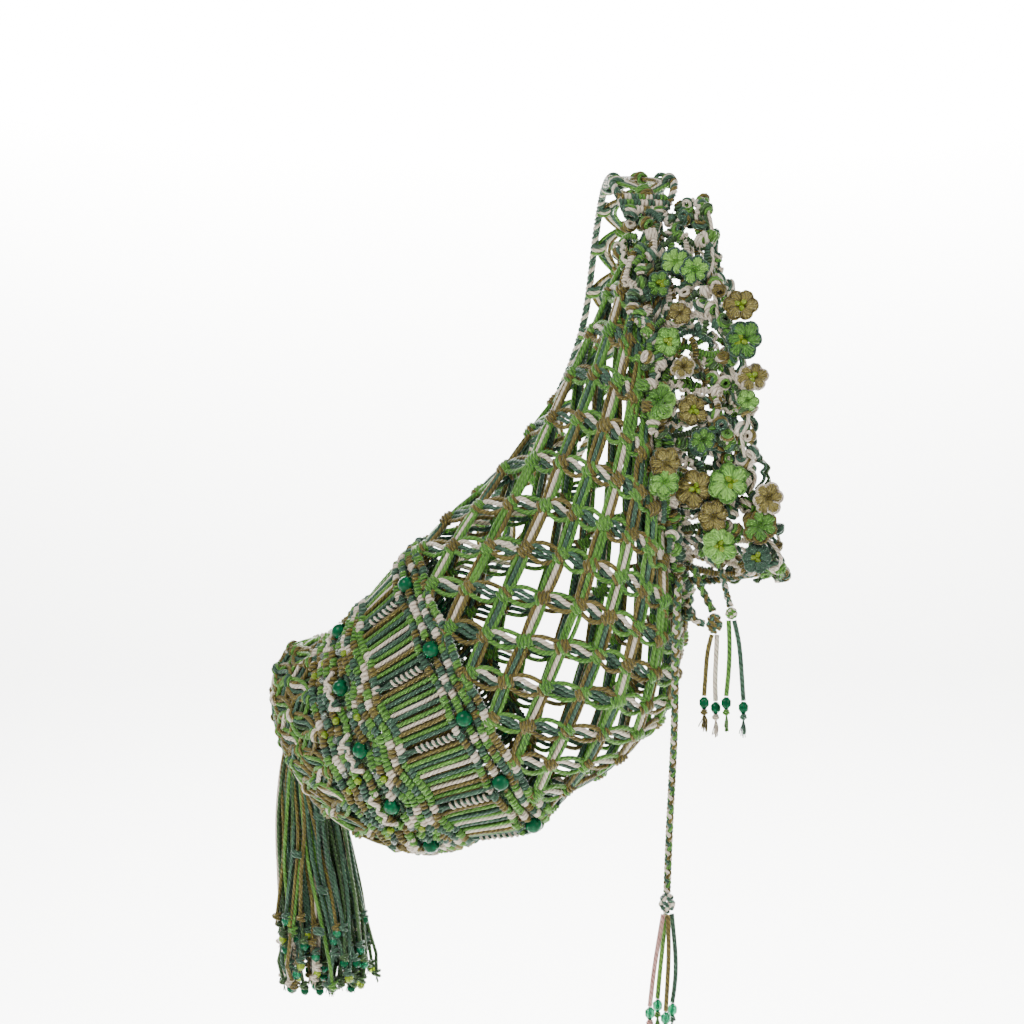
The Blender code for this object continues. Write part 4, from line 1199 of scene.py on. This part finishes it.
def makeTassel():
    rows = np.array(tassel["rows"], dtype=float)
    at = naturalCubic(-rows[:, 2], rows)
    routes = perYarn()
    knots = perYarn()
    beads = {"bottle": [], "aqua": [], "lime": []}
    fibres = perYarn()
    top, foot = -rows[0, 2], -rows[-1, 2]
    for number in range(tassel["cords"]):
        angle = number * tassel["goldenTurn"] + chance.uniform(-0.2, 0.2)
        share = math.sqrt((number + 0.5) / tassel["cords"]) * tassel["packed"]
        end = -chance.uniform(tassel["longest"], tassel["shortest"])
        depth = np.linspace(top - 6.0, end, 15)
        row = at(np.clip(depth, top, foot))
        wave = chance.uniform(0, 6.28)
        sway = tassel["sway"] * np.sin(depth / 38.0 + wave) * np.clip((depth - top) / 60, 0, 1)
        angles = angle + tassel["wander"] * np.sin(depth / 90.0 + wave) * np.clip((depth - top) / 120, 0, 1)
        points = np.stack([row[:, 0] + row[:, 3] * (share + sway) * np.cos(angles),
                           row[:, 1] + row[:, 4] * (share + sway) * np.sin(angles), -depth], axis=1) * mm
        colour = pick(tassel["colours"])
        routes[colour].append(points)
        low, ahead = points[-1], unit(points[-1] - points[-2])
        for n in range(2):
            knots[colour].append((low + ahead * (1.5 + 3.0 * n) * mm, (0.0, -1.0, 0.0),
                                  turned(ahead, (0, -1, 0), 0.35 - 0.7 * n), 0.86))
        if number % 2 == 0:
            beads[("bottle", "aqua", "lime")[number // 2 % 3]].append(
                (low + ahead * 8.5 * mm, (0.0, -1.0, 0.0), ahead, np.array(tassel["beadSize"]) * mm))
        for _ in range(tassel["fibres"]):
            spread = np.array([chance.uniform(-1, 1), chance.uniform(-1, 1), 0]) * 2.4 * mm
            drop = np.linspace(0, 1, 4)[:, None]
            fibres[colour].append(low + ahead * 4.5 * mm + spread * drop
                                  + np.array([0, 0, -1.0]) * drop * chance.uniform(5, 9) * mm)
    for height, turn in tassel["oddKnots"]:
        x, y, _, halfWidth, halfDepth = at(-height)[0]
        spot = np.array([x + halfWidth * 0.95 * math.cos(turn), y - halfDepth * 0.98 * abs(math.sin(turn)),
                         height]) * mm
        for n in range(2):
            knots["spruce"].append((spot + np.array([0, 0, (n - 0.5) * 3.4 * mm]), (0.0, -1.0, 0.0),
                                    (0.2, 0.0, 1.0), 1.0))
    for colour in yarns:
        layCords(titled("TasselCords", colour), routes[colour], colour, "tassel", radius=tassel["radius"])
        scatter(titled("TasselKnots", colour), knots[colour], units["smallWrap"], colour, "tassel")
        layCords(titled("TasselFibres", colour), fibres[colour], colour, "tassel", radius=0.5 * mm, sides=4)
    scatterEach("TasselBeads", beads, units["facetBead"], "tassel")
    print("tassel ready")


makeCollar()
makeTassel()


strap = {
    # its course, width and outward direction
    "line": ((3, -107, -39.3, 43, 0, -0.9, 0.4), (4, -88, -13, 64, 0, -0.8, 0.6),
             (1, -50, 1.5, 64, 0, -0.3, 0.95), (0, 0, 4.5, 64, 0, 0, 1), (-3, 52, -6, 64, 0, 0.4, 0.9),
             (-10, 100, -52, 62, 0, 0.85, 0.5), (-20, 132, -122, 60, 0, 0.97, 0.2),
             (-69, 175, -240, 58, 0, 1, 0.05), (-143, 188, -346, 56, 0, 1, -0.05),
             (-217, 170, -430, 52, -0.2, 1, -0.2), (-285, 112, -497, 44, -0.5, 0.85, -0.4),
             (-309.4, 43.9, -525.9, 34, -0.75, 0.5, -0.5)),
    "cross": 48.0, "edge": 4.2, "inner": 14.0, "pitch": 17.0 * mm,
    "firstBars": (3.0, 10.0, 17.0), "lastBars": (5.0, 12.0), "barStep": 6.6,    # from either end, mm
}


def makeStrap():
    rows = np.array(strap["line"], dtype=float)
    gone = lengths(rows[:, :3])
    at = naturalCubic(gone, rows)
    total = gone[-1]

    def place(spot, offset, lift):    # mm along, across and off the strap
        spot = np.atleast_1d(spot)
        row = at(spot)
        ahead = unit(at(np.minimum(spot + 1, total))[:, :3] - at(np.maximum(spot - 1, 0))[:, :3])
        out = row[:, 4:7] - ahead * np.sum(row[:, 4:7] * ahead, axis=1, keepdims=True)
        out = unit(out)
        across = np.cross(ahead, out)
        return ((row[:, :3] + across * np.reshape(offset, (-1, 1)) + out * np.reshape(lift, (-1, 1))) * mm,
                ahead, out)

    routes = perYarn()
    spots, ties = perYarn(), perYarn()
    fine = np.linspace(0.0, total, 420)
    half = at(fine)[:, 3] / 2
    for side, colours in ((-1, ("spruce", "cream", "spruce")), (1, ("spruce", "olive", "cream"))):
        edge = place(fine, side * (half - strap["edge"]), 0 * fine)[0]
        for n, colour in enumerate(colours):
            routes[colour].append(helix(edge, 2.2 * mm, strap["pitch"], 2 * math.pi * n / 3))
    coarse = np.linspace(0.0, total, 232)
    half = at(coarse)[:, 3] / 2 - strap["inner"]
    inner = ("lightGreen", "spruce", "cream", "olive")
    for sign, colours in ((1, inner), (-1, inner[::-1])):
        swing = np.cos(math.pi * coarse / strap["cross"])
        over = 1.7 * sign * np.sin(math.pi * coarse / strap["cross"] / 2 + 0.8)
        for n, colour in enumerate(colours):
            offset = sign * half * swing + (n - 1.5) * 4.0 * (0.6 + 0.4 * np.abs(swing))
            routes[colour].append(place(coarse, offset, over)[0])
    crossings = np.arange(0.5, total / strap["cross"], 1.0) * strap["cross"]
    for n, spot in enumerate(crossings):
        middle, ahead, out = place(spot, 0.0, 0.0)
        mix = ("lightGreen", "olive") * 2 if n % 2 else ("olive", "olive", "lightGreen", "lightGreen")
        knotWraps(spots, middle[0], out[0], turned(ahead[0], out[0], 0.45), mix, 4.0 * mm, 1.08)
    for spot in np.arange(0.0, total, strap["cross"]):
        for side in (-1, 1):
            width = at(spot)[0, 3] / 2
            middle, ahead, out = place(spot, side * (width - 8.5), 0.0)
            for k, colour in enumerate(("spruce", "cream", "lightGreen")):
                ties[colour].append((middle[0] + ahead[0] * (k - 1) * 3.9 * mm, out[0],
                                     turned(ahead[0], out[0], 0.25 * side), 1.06))
    hitches = perYarn()
    for spot in (*strap["firstBars"], *(total - gap for gap in strap["lastBars"])):    # hitched bars
        width = at(spot)[0, 3] / 2 - 5
        for offset in np.arange(-width, width + 0.1, strap["barStep"]):
            middle, ahead, out = place(spot, offset, 1.2)
            hitches[pick({"cream": 3, "spruce": 4, "olive": 2, "lightGreen": 2})].append(
                (middle[0], out[0], ahead[0], 0.92))
    for colour in yarns:
        layCords(titled("Strap", colour), routes[colour], colour, "shoulder_strap", radius=2.0 * mm)
        for title, places, kind in (("StrapKnots", spots, "netWrap"), ("StrapTies", ties, "netWrap"),
                                    ("StrapHitches", hitches, "hitch")):
            scatter(titled(title, colour), places[colour], units[kind], colour, "shoulder_strap")
    print("strap ready")


makeStrap()


mouth = {
    "rimT": -0.3, "rimRadius": 4.5 * mm, "rimPitch": 26 * mm, "frillThick": 7.0 * mm, "clear": 0.7 * mm,
    "edge": (97.0, -112.0, -212.0, 176.0, 11.5, 54.0, 46.0, 12.0),
    "ruffles": 7, "swing": 13.0 * mm, "columns": 336, "rungs": 50,
    "bobbles": 170, "overBars": 210, "overFrom": -0.35, "overTo": 2.0,
    "overRound": 710, "overStation": 21, "goldenShare": 0.61803,    # the net's way round and a station, mm
    # a bar's hitches and how many keep its colour, and the loops of its edging cord: their pitch,
    # and how far they lie aside and off it, middle and swing, mm
    "stitch": 5.6 * mm, "plain": 0.74, "picot": 8.5 * mm, "edging": (3.6, 1.9, 2.4, 0.8),
    "bars": {"spruce": 4, "cream": 2.2, "forest": 3.5, "olive": 3, "lightGreen": 4},
    "dots": {"spruce": 3, "cream": 3.6, "lightGreen": 3.5, "olive": 2.5, "forest": 1.5},
}


def makeRim():
    ring = evenPoints(stationAt(mouth["rimT"])[0], 300)
    path = np.vstack([ring, ring[:2]])
    turns = round(lengths(path)[-1] / mouth["rimPitch"])
    for colour, starts in (("spruce", (0, 2)), ("cream", (1,)), ("olive", (3,))):
        runs = [helix(path, 2.35 * mm, lengths(path)[-2] / turns, n * math.pi / 2) for n in starts]
        layCords(titled("Rim", colour), runs, colour, "mouth_rim", radius=2.1 * mm)
    print("rim ready")


def frillSurface():
    count = mouth["columns"]
    ring = evenPoints(stationAt(mouth["rimT"])[0], count)
    edge = evenPoints(mouth["edge"], count)
    ahead = unit(np.roll(ring, -1, axis=0) - np.roll(ring, 1, axis=0))
    reach = edge - ring
    reach = unit(reach - ahead * np.sum(reach * ahead, axis=1, keepdims=True))
    start = ring + reach * (mouth["rimRadius"] + mouth["frillThick"] / 2 + mouth["clear"])
    away = edge - edge.mean(axis=0)
    away[:, 1] *= 3.0
    away = unit(away)
    wave = np.sin(2 * math.pi * mouth["ruffles"] * np.arange(count) / count)

    def at(u, v, lift=0.0):
        u, v, lift = np.broadcast_arrays(np.asarray(u, float), np.asarray(v, float), np.asarray(lift, float))
        col = (u % 1.0) * count
        c, f = col.astype(int) % count, (col - np.floor(col))[..., None]

        def mix(table):
            return table[c] * (1 - f) + table[(c + 1) % count] * f
        base, far, out = mix(start), mix(edge), unit(mix(away))
        swell = (mix(wave[:, None]) * mouth["swing"]) * np.clip(v, 0, 1)[..., None]
        return base * (1 - v[..., None]) + far * v[..., None] + out * (swell + lift[..., None])
    return at


def laceBar(spots, routes, path, outs, colour, edging):
    # a cord covered in hitches, and a loose cord that loops along one side of it
    gone = lengths(path)
    count = max(2, int(gone[-1] / mouth["stitch"]))
    wanted = (np.arange(count) + 0.5) / count * gone[-1]
    ahead = unit(np.gradient(path, axis=0))
    for place, along, out in zip(*(columnsAt(wanted, gone, rows) for rows in (path, ahead, outs))):
        shown = colour if chance.uniform() < mouth["plain"] else pick(mouth["dots"])
        spots[shown].append((place, unit(out), np.cross(unit(along), unit(out)), chance.uniform(0.64, 0.82)))
    routes["spruce"].append(path[::2])
    if edging:
        fine = np.linspace(0.0, gone[-1], max(8, int(gone[-1] / (1.3 * mm))))
        centre, along, out = (columnsAt(fine, gone, rows) for rows in (path, ahead, outs))
        swing = 2 * math.pi * fine / mouth["picot"]
        across = unit(np.cross(along, unit(out)))
        aside, asideSwing, lift, liftSwing = mouth["edging"]
        routes[edging].append(centre + across * ((aside + asideSwing * np.sin(swing)) * mm)[:, None]
                              + unit(out) * ((lift + liftSwing * np.cos(swing)) * mm)[:, None])


def bobble(knots, place, out, along, colour, other):    # a ball of wraps
    for n in range(3):
        knots[colour if n != 1 else other].append((place + along * (n - 1) * 3.3 * mm, out, along,
                                                   (1.12 if n == 1 else 0.86) * chance.uniform(0.9, 1.15)))


def makeFrill():
    at = frillSurface()
    routes, spots, knots = perYarn(), perYarn(), perYarn()
    rungs = mouth["rungs"]

    def facing(u, v):    # the frill's own face, on the viewer's side
        out = np.cross(at(u + 0.004, v) - at(u - 0.004, v), at(u, v + 0.03) - at(u, v - 0.03))
        return unit(np.where(out[..., 1:2] > 0, -out, out))

    for number in range(rungs):    # bars run out from the rim
        v = np.linspace(-0.06, chance.uniform(0.7, 1.02), 20)
        bend = chance.uniform(-0.6, 0.6) * v + 0.3 * np.sin(v * 7 + number)
        u = (number + bend) / rungs
        path, outs = at(u, v, chance.uniform(-3.0, 3.5) * mm), facing(u, v)
        if number % 3:
            laceBar(spots, routes, path, outs, pick(mouth["bars"]), "cream" if number % 6 == 1 else None)
        else:
            share = np.linspace(0, 1, 60)
            fine = at(np.interp(share, np.linspace(0, 1, 20), u), np.linspace(v[0], v[-1], 60))
            for n, colour in enumerate((pick(mouth["bars"]), "cream" if number % 2 else "spruce")):
                routes[colour].append(helix(fine, 2.4 * mm, 8.6 * mm, math.pi * n))
    for number in range(rungs * 3):    # short bars join them, and looser cords lie behind
        u0, v0 = chance.uniform(0, 1), (number % 3 + chance.uniform(0.2, 1.1)) / 3.4
        wide = chance.uniform(0.7, 1.5) / rungs
        share = np.linspace(0.0, 1.0, 8)
        u, v = u0 + wide * share, v0 + chance.uniform(-0.12, 0.12) * share + 0.03 * np.sin(3 * share)
        if number % 2:
            path = at(u, v, chance.uniform(-1.0, 4.0) * mm)
            laceBar(spots, routes, path, facing(u, v), pick(mouth["bars"]),
                    "cream" if number % 8 == 1 else None)
        else:
            for n in (-1, 1):
                routes[pick(mouth["bars"])].append(at(u, v + 0.02 * n, (-3.0 - 1.5 * n) * mm))
    share = np.linspace(0.0, 1.0, rungs * 10 + 1)
    for n, colour in enumerate(("spruce", "forest", "cream")):    # the outer edge
        scallop = np.abs(np.sin(math.pi * share * rungs * (1 if n < 2 else 0.5)))
        reach = (0.9 + 0.06 * scallop + 0.012 * (n - 1)
                 + 0.05 * np.sin(2 * math.pi * 13 * share) + 0.04 * np.sin(2 * math.pi * 5 * share + n))
        routes[colour].append(at(share, reach, (n - 1) * 2.2 * mm))
    for number in range(mouth["bobbles"]):
        u, v = chance.uniform(0, 1), math.sqrt(chance.uniform(0.01, 1.05))
        place = at(u, v, chance.uniform(-2.0, 4.0) * mm)
        along = unit(chance.normal(size=3))
        out = unit(np.cross(along, unit(chance.normal(size=3))))
        bobble(knots, place, out, along, pick(mouth["dots"]), pick(mouth["dots"]))
    for number in range(mouth["overBars"]):    # the lace spills back over the net's mouth end
        s0, t0 = number * mouth["goldenShare"] % 1.0, chance.uniform(mouth["overFrom"], mouth["overTo"])
        heading = chance.uniform(0, 2 * math.pi)
        share = np.linspace(-0.5, 0.5, 7) * chance.uniform(16, 32)
        s = s0 + share * math.sin(heading) / mouth["overRound"]
        t = t0 + share * math.cos(heading) / mouth["overStation"]
        lift = (6.0 + 2.5 * np.cos(share / 9)) * mm
        path, outs = onBag(t, s, lift), unit(sample(outwards, t, s))
        if number % 2:
            laceBar(spots, routes, path, outs, pick(mouth["bars"]), "cream" if number % 8 == 1 else None)
        else:
            along = unit(path[4] - path[2])
            place = path[3] + outs[3] * 1.5 * mm
            bobble(knots, place, outs[3], along, pick(mouth["dots"]), pick(mouth["dots"]))
    for colour in yarns:
        layCords(titled("Frill", colour), routes[colour], colour, "mouth_frill", radius=1.75 * mm)
        scatter(titled("FrillHitches", colour), spots[colour], units["hitch"], colour, "mouth_frill")
        scatter(titled("FrillKnots", colour), knots[colour], units["smallWrap"], colour, "mouth_frill")
    print("frill ready")


makeRim()
makeFrill()


flower = {
    "petals": 6, "posts": 5, "spread": 1.12, "height": 1.5,    # the last two against its CAD solid
    "beads": 3, "beadSize": (2.7, 2.7, 3.5), "beadRing": 0.25, "beadLift": 1.2,
    # petals, rim and what sits in the middle, for each flower in turn
    "mix": (("blossomGreen", "spruce", None), ("blossomGreen", "spruce", None),
            ("lightGreen", "spruce", "lime"), ("brown", "olive", None),
            ("blossomGreen", "lightGreen", "lime"), ("brown", "cream", None), ("brown", "olive", "lime"),
            ("lightGreen", "spruce", "lime"), ("brown", "cream", "lime"),
            ("blossomGreen", "lightGreen", None), ("lightGreen", "blossomGreen", None),
            ("brown", "olive", "lime"), ("lightGreen", "spruce", None), ("brown", "olive", None),
            ("blossomGreen", "lightGreen", None),
            ("brown", "olive", "lime"), ("blossomGreen", "lightGreen", "lime"), ("brown", "olive", None),
            ("brown", "cream", None), ("blossomGreen", "blossomGreen", "lime"), ("lightGreen", "olive", None),
            ("spruce", "spruce", "lime")),
}


def tubeUnit(name, runs, radius, sides=5):    # a unit made of cord, of radius 1 across
    item = cordMesh(name, runs, radius, sides, yarns["lightGreen"])
    layer = item.data.uv_layers["UVMap"]    # the cord's own length, at a flower's usual size
    spots = np.zeros(len(layer.data) * 2)
    layer.data.foreach_get("uv", spots)
    spots[1::2] *= 14 * mm
    layer.data.foreach_set("uv", spots)
    return asUnit(item)


def flowerUnits():
    # shells of crochet stitches fan out from a ring, and a cord edges each shell's round lobe
    posts, edges = [], []
    for petal in range(flower["petals"]):
        middle = 2 * math.pi * (petal + chance.uniform(-0.12, 0.12)) / flower["petals"]
        grow, curl = chance.uniform(0.8, 1.06), chance.uniform(-0.15, 0.45)
        for n in range(flower["posts"]):
            fan = 2 * n / (flower["posts"] - 1) - 1.0
            share = np.linspace(0, 1, 6)
            a = middle + fan * (0.16 + 0.24 * share)
            r = 0.26 + (0.68 * grow - 0.2 * fan ** 2) * share
            rise = 0.3 + 0.55 * np.sin(math.pi * (0.1 + 0.75 * share)) + 0.1 * (n % 2) + curl * share ** 2
            posts.append(np.stack([r * np.cos(a), rise, r * np.sin(a)], axis=1))
        turn = np.linspace(-2.1, 2.1, 15)
        for reach, high in ((0.37, 0.5), (0.33, 0.2)):
            along, aside = 0.63 * grow + reach * np.cos(turn), reach * np.sin(turn)
            edges.append(np.stack([along * math.cos(middle) - aside * math.sin(middle),
                                   high + 0.7 * curl + 0.1 * np.sin(7 * turn),
                                   along * math.sin(middle) + aside * math.cos(middle)], axis=1))
    a = np.linspace(0, 2 * math.pi, 19)
    for near, high in ((0.22, 0.5), (0.08, 0.42)):
        posts.append(np.stack([near * np.cos(a), high + 0 * a, near * np.sin(a)], axis=1))
    return tubeUnit("FlowerPostsUnit", posts, 0.12, 5), tubeUnit("FlowerEdgeUnit", edges, 0.145)


def makeFlowers():
    postUnit, edgeUnit = flowerUnits()
    petals, edges, beads = {}, {}, {}
    for number, (main, rim, middle) in enumerate(flower["mix"], start=1):
        node = "flower_%02d" % number
        low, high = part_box(node)
        centre = np.array([(low.x + high.x) / 2, high.y, (low.z + high.z) / 2])
        radius, thick = (high.x - low.x) / 2, high.y - low.y
        out = unit([chance.uniform(-0.45, 0.5), -1.0, chance.uniform(-0.4, 0.4)])
        up = turned((0.0, 0.0, 1.0), (0, 1, 0), chance.uniform(0, 3))
        wide = radius * flower["spread"]
        size = np.array([wide, thick * flower["height"], wide]) * chance.uniform(0.94, 1.06)
        petals.setdefault(main, []).append(((centre, out, up, size), node))
        edges.setdefault(rim, []).append(((centre, out, up, size), node))
        if middle:
            for n in range(flower["beads"]):
                a = 2.1 * n + number
                lean = np.array([math.cos(a), 0.0, math.sin(a)])
                spot = centre + out * thick * flower["beadLift"] + lean * flower["beadRing"] * radius
                beadSize = np.array(flower["beadSize"]) * mm
                beads.setdefault(middle, []).append(((spot, out, lean, beadSize), node))
    for title, unitItem, group in (("Petals", postUnit, petals), ("Edges", edgeUnit, edges),
                                   ("Beads", units["facetBead"], beads)):
        for colour, places in group.items():
            scatter(titled("Flower" + title, colour), [p for p, _ in places], unitItem, colour,
                    *sorted({node for _, node in places}))
    print("flowers ready")


makeFlowers()


def writeSizes():
    both = [[list(map(float, corner)) for corner in box] for box in (cadBox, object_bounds())]


for item in list(bpy.data.objects):    # the units were only there to be copied
    if item.hide_viewport and item.name.endswith("Unit"):
        bpy.data.objects.remove(item, do_unlink=True)
writeSizes()
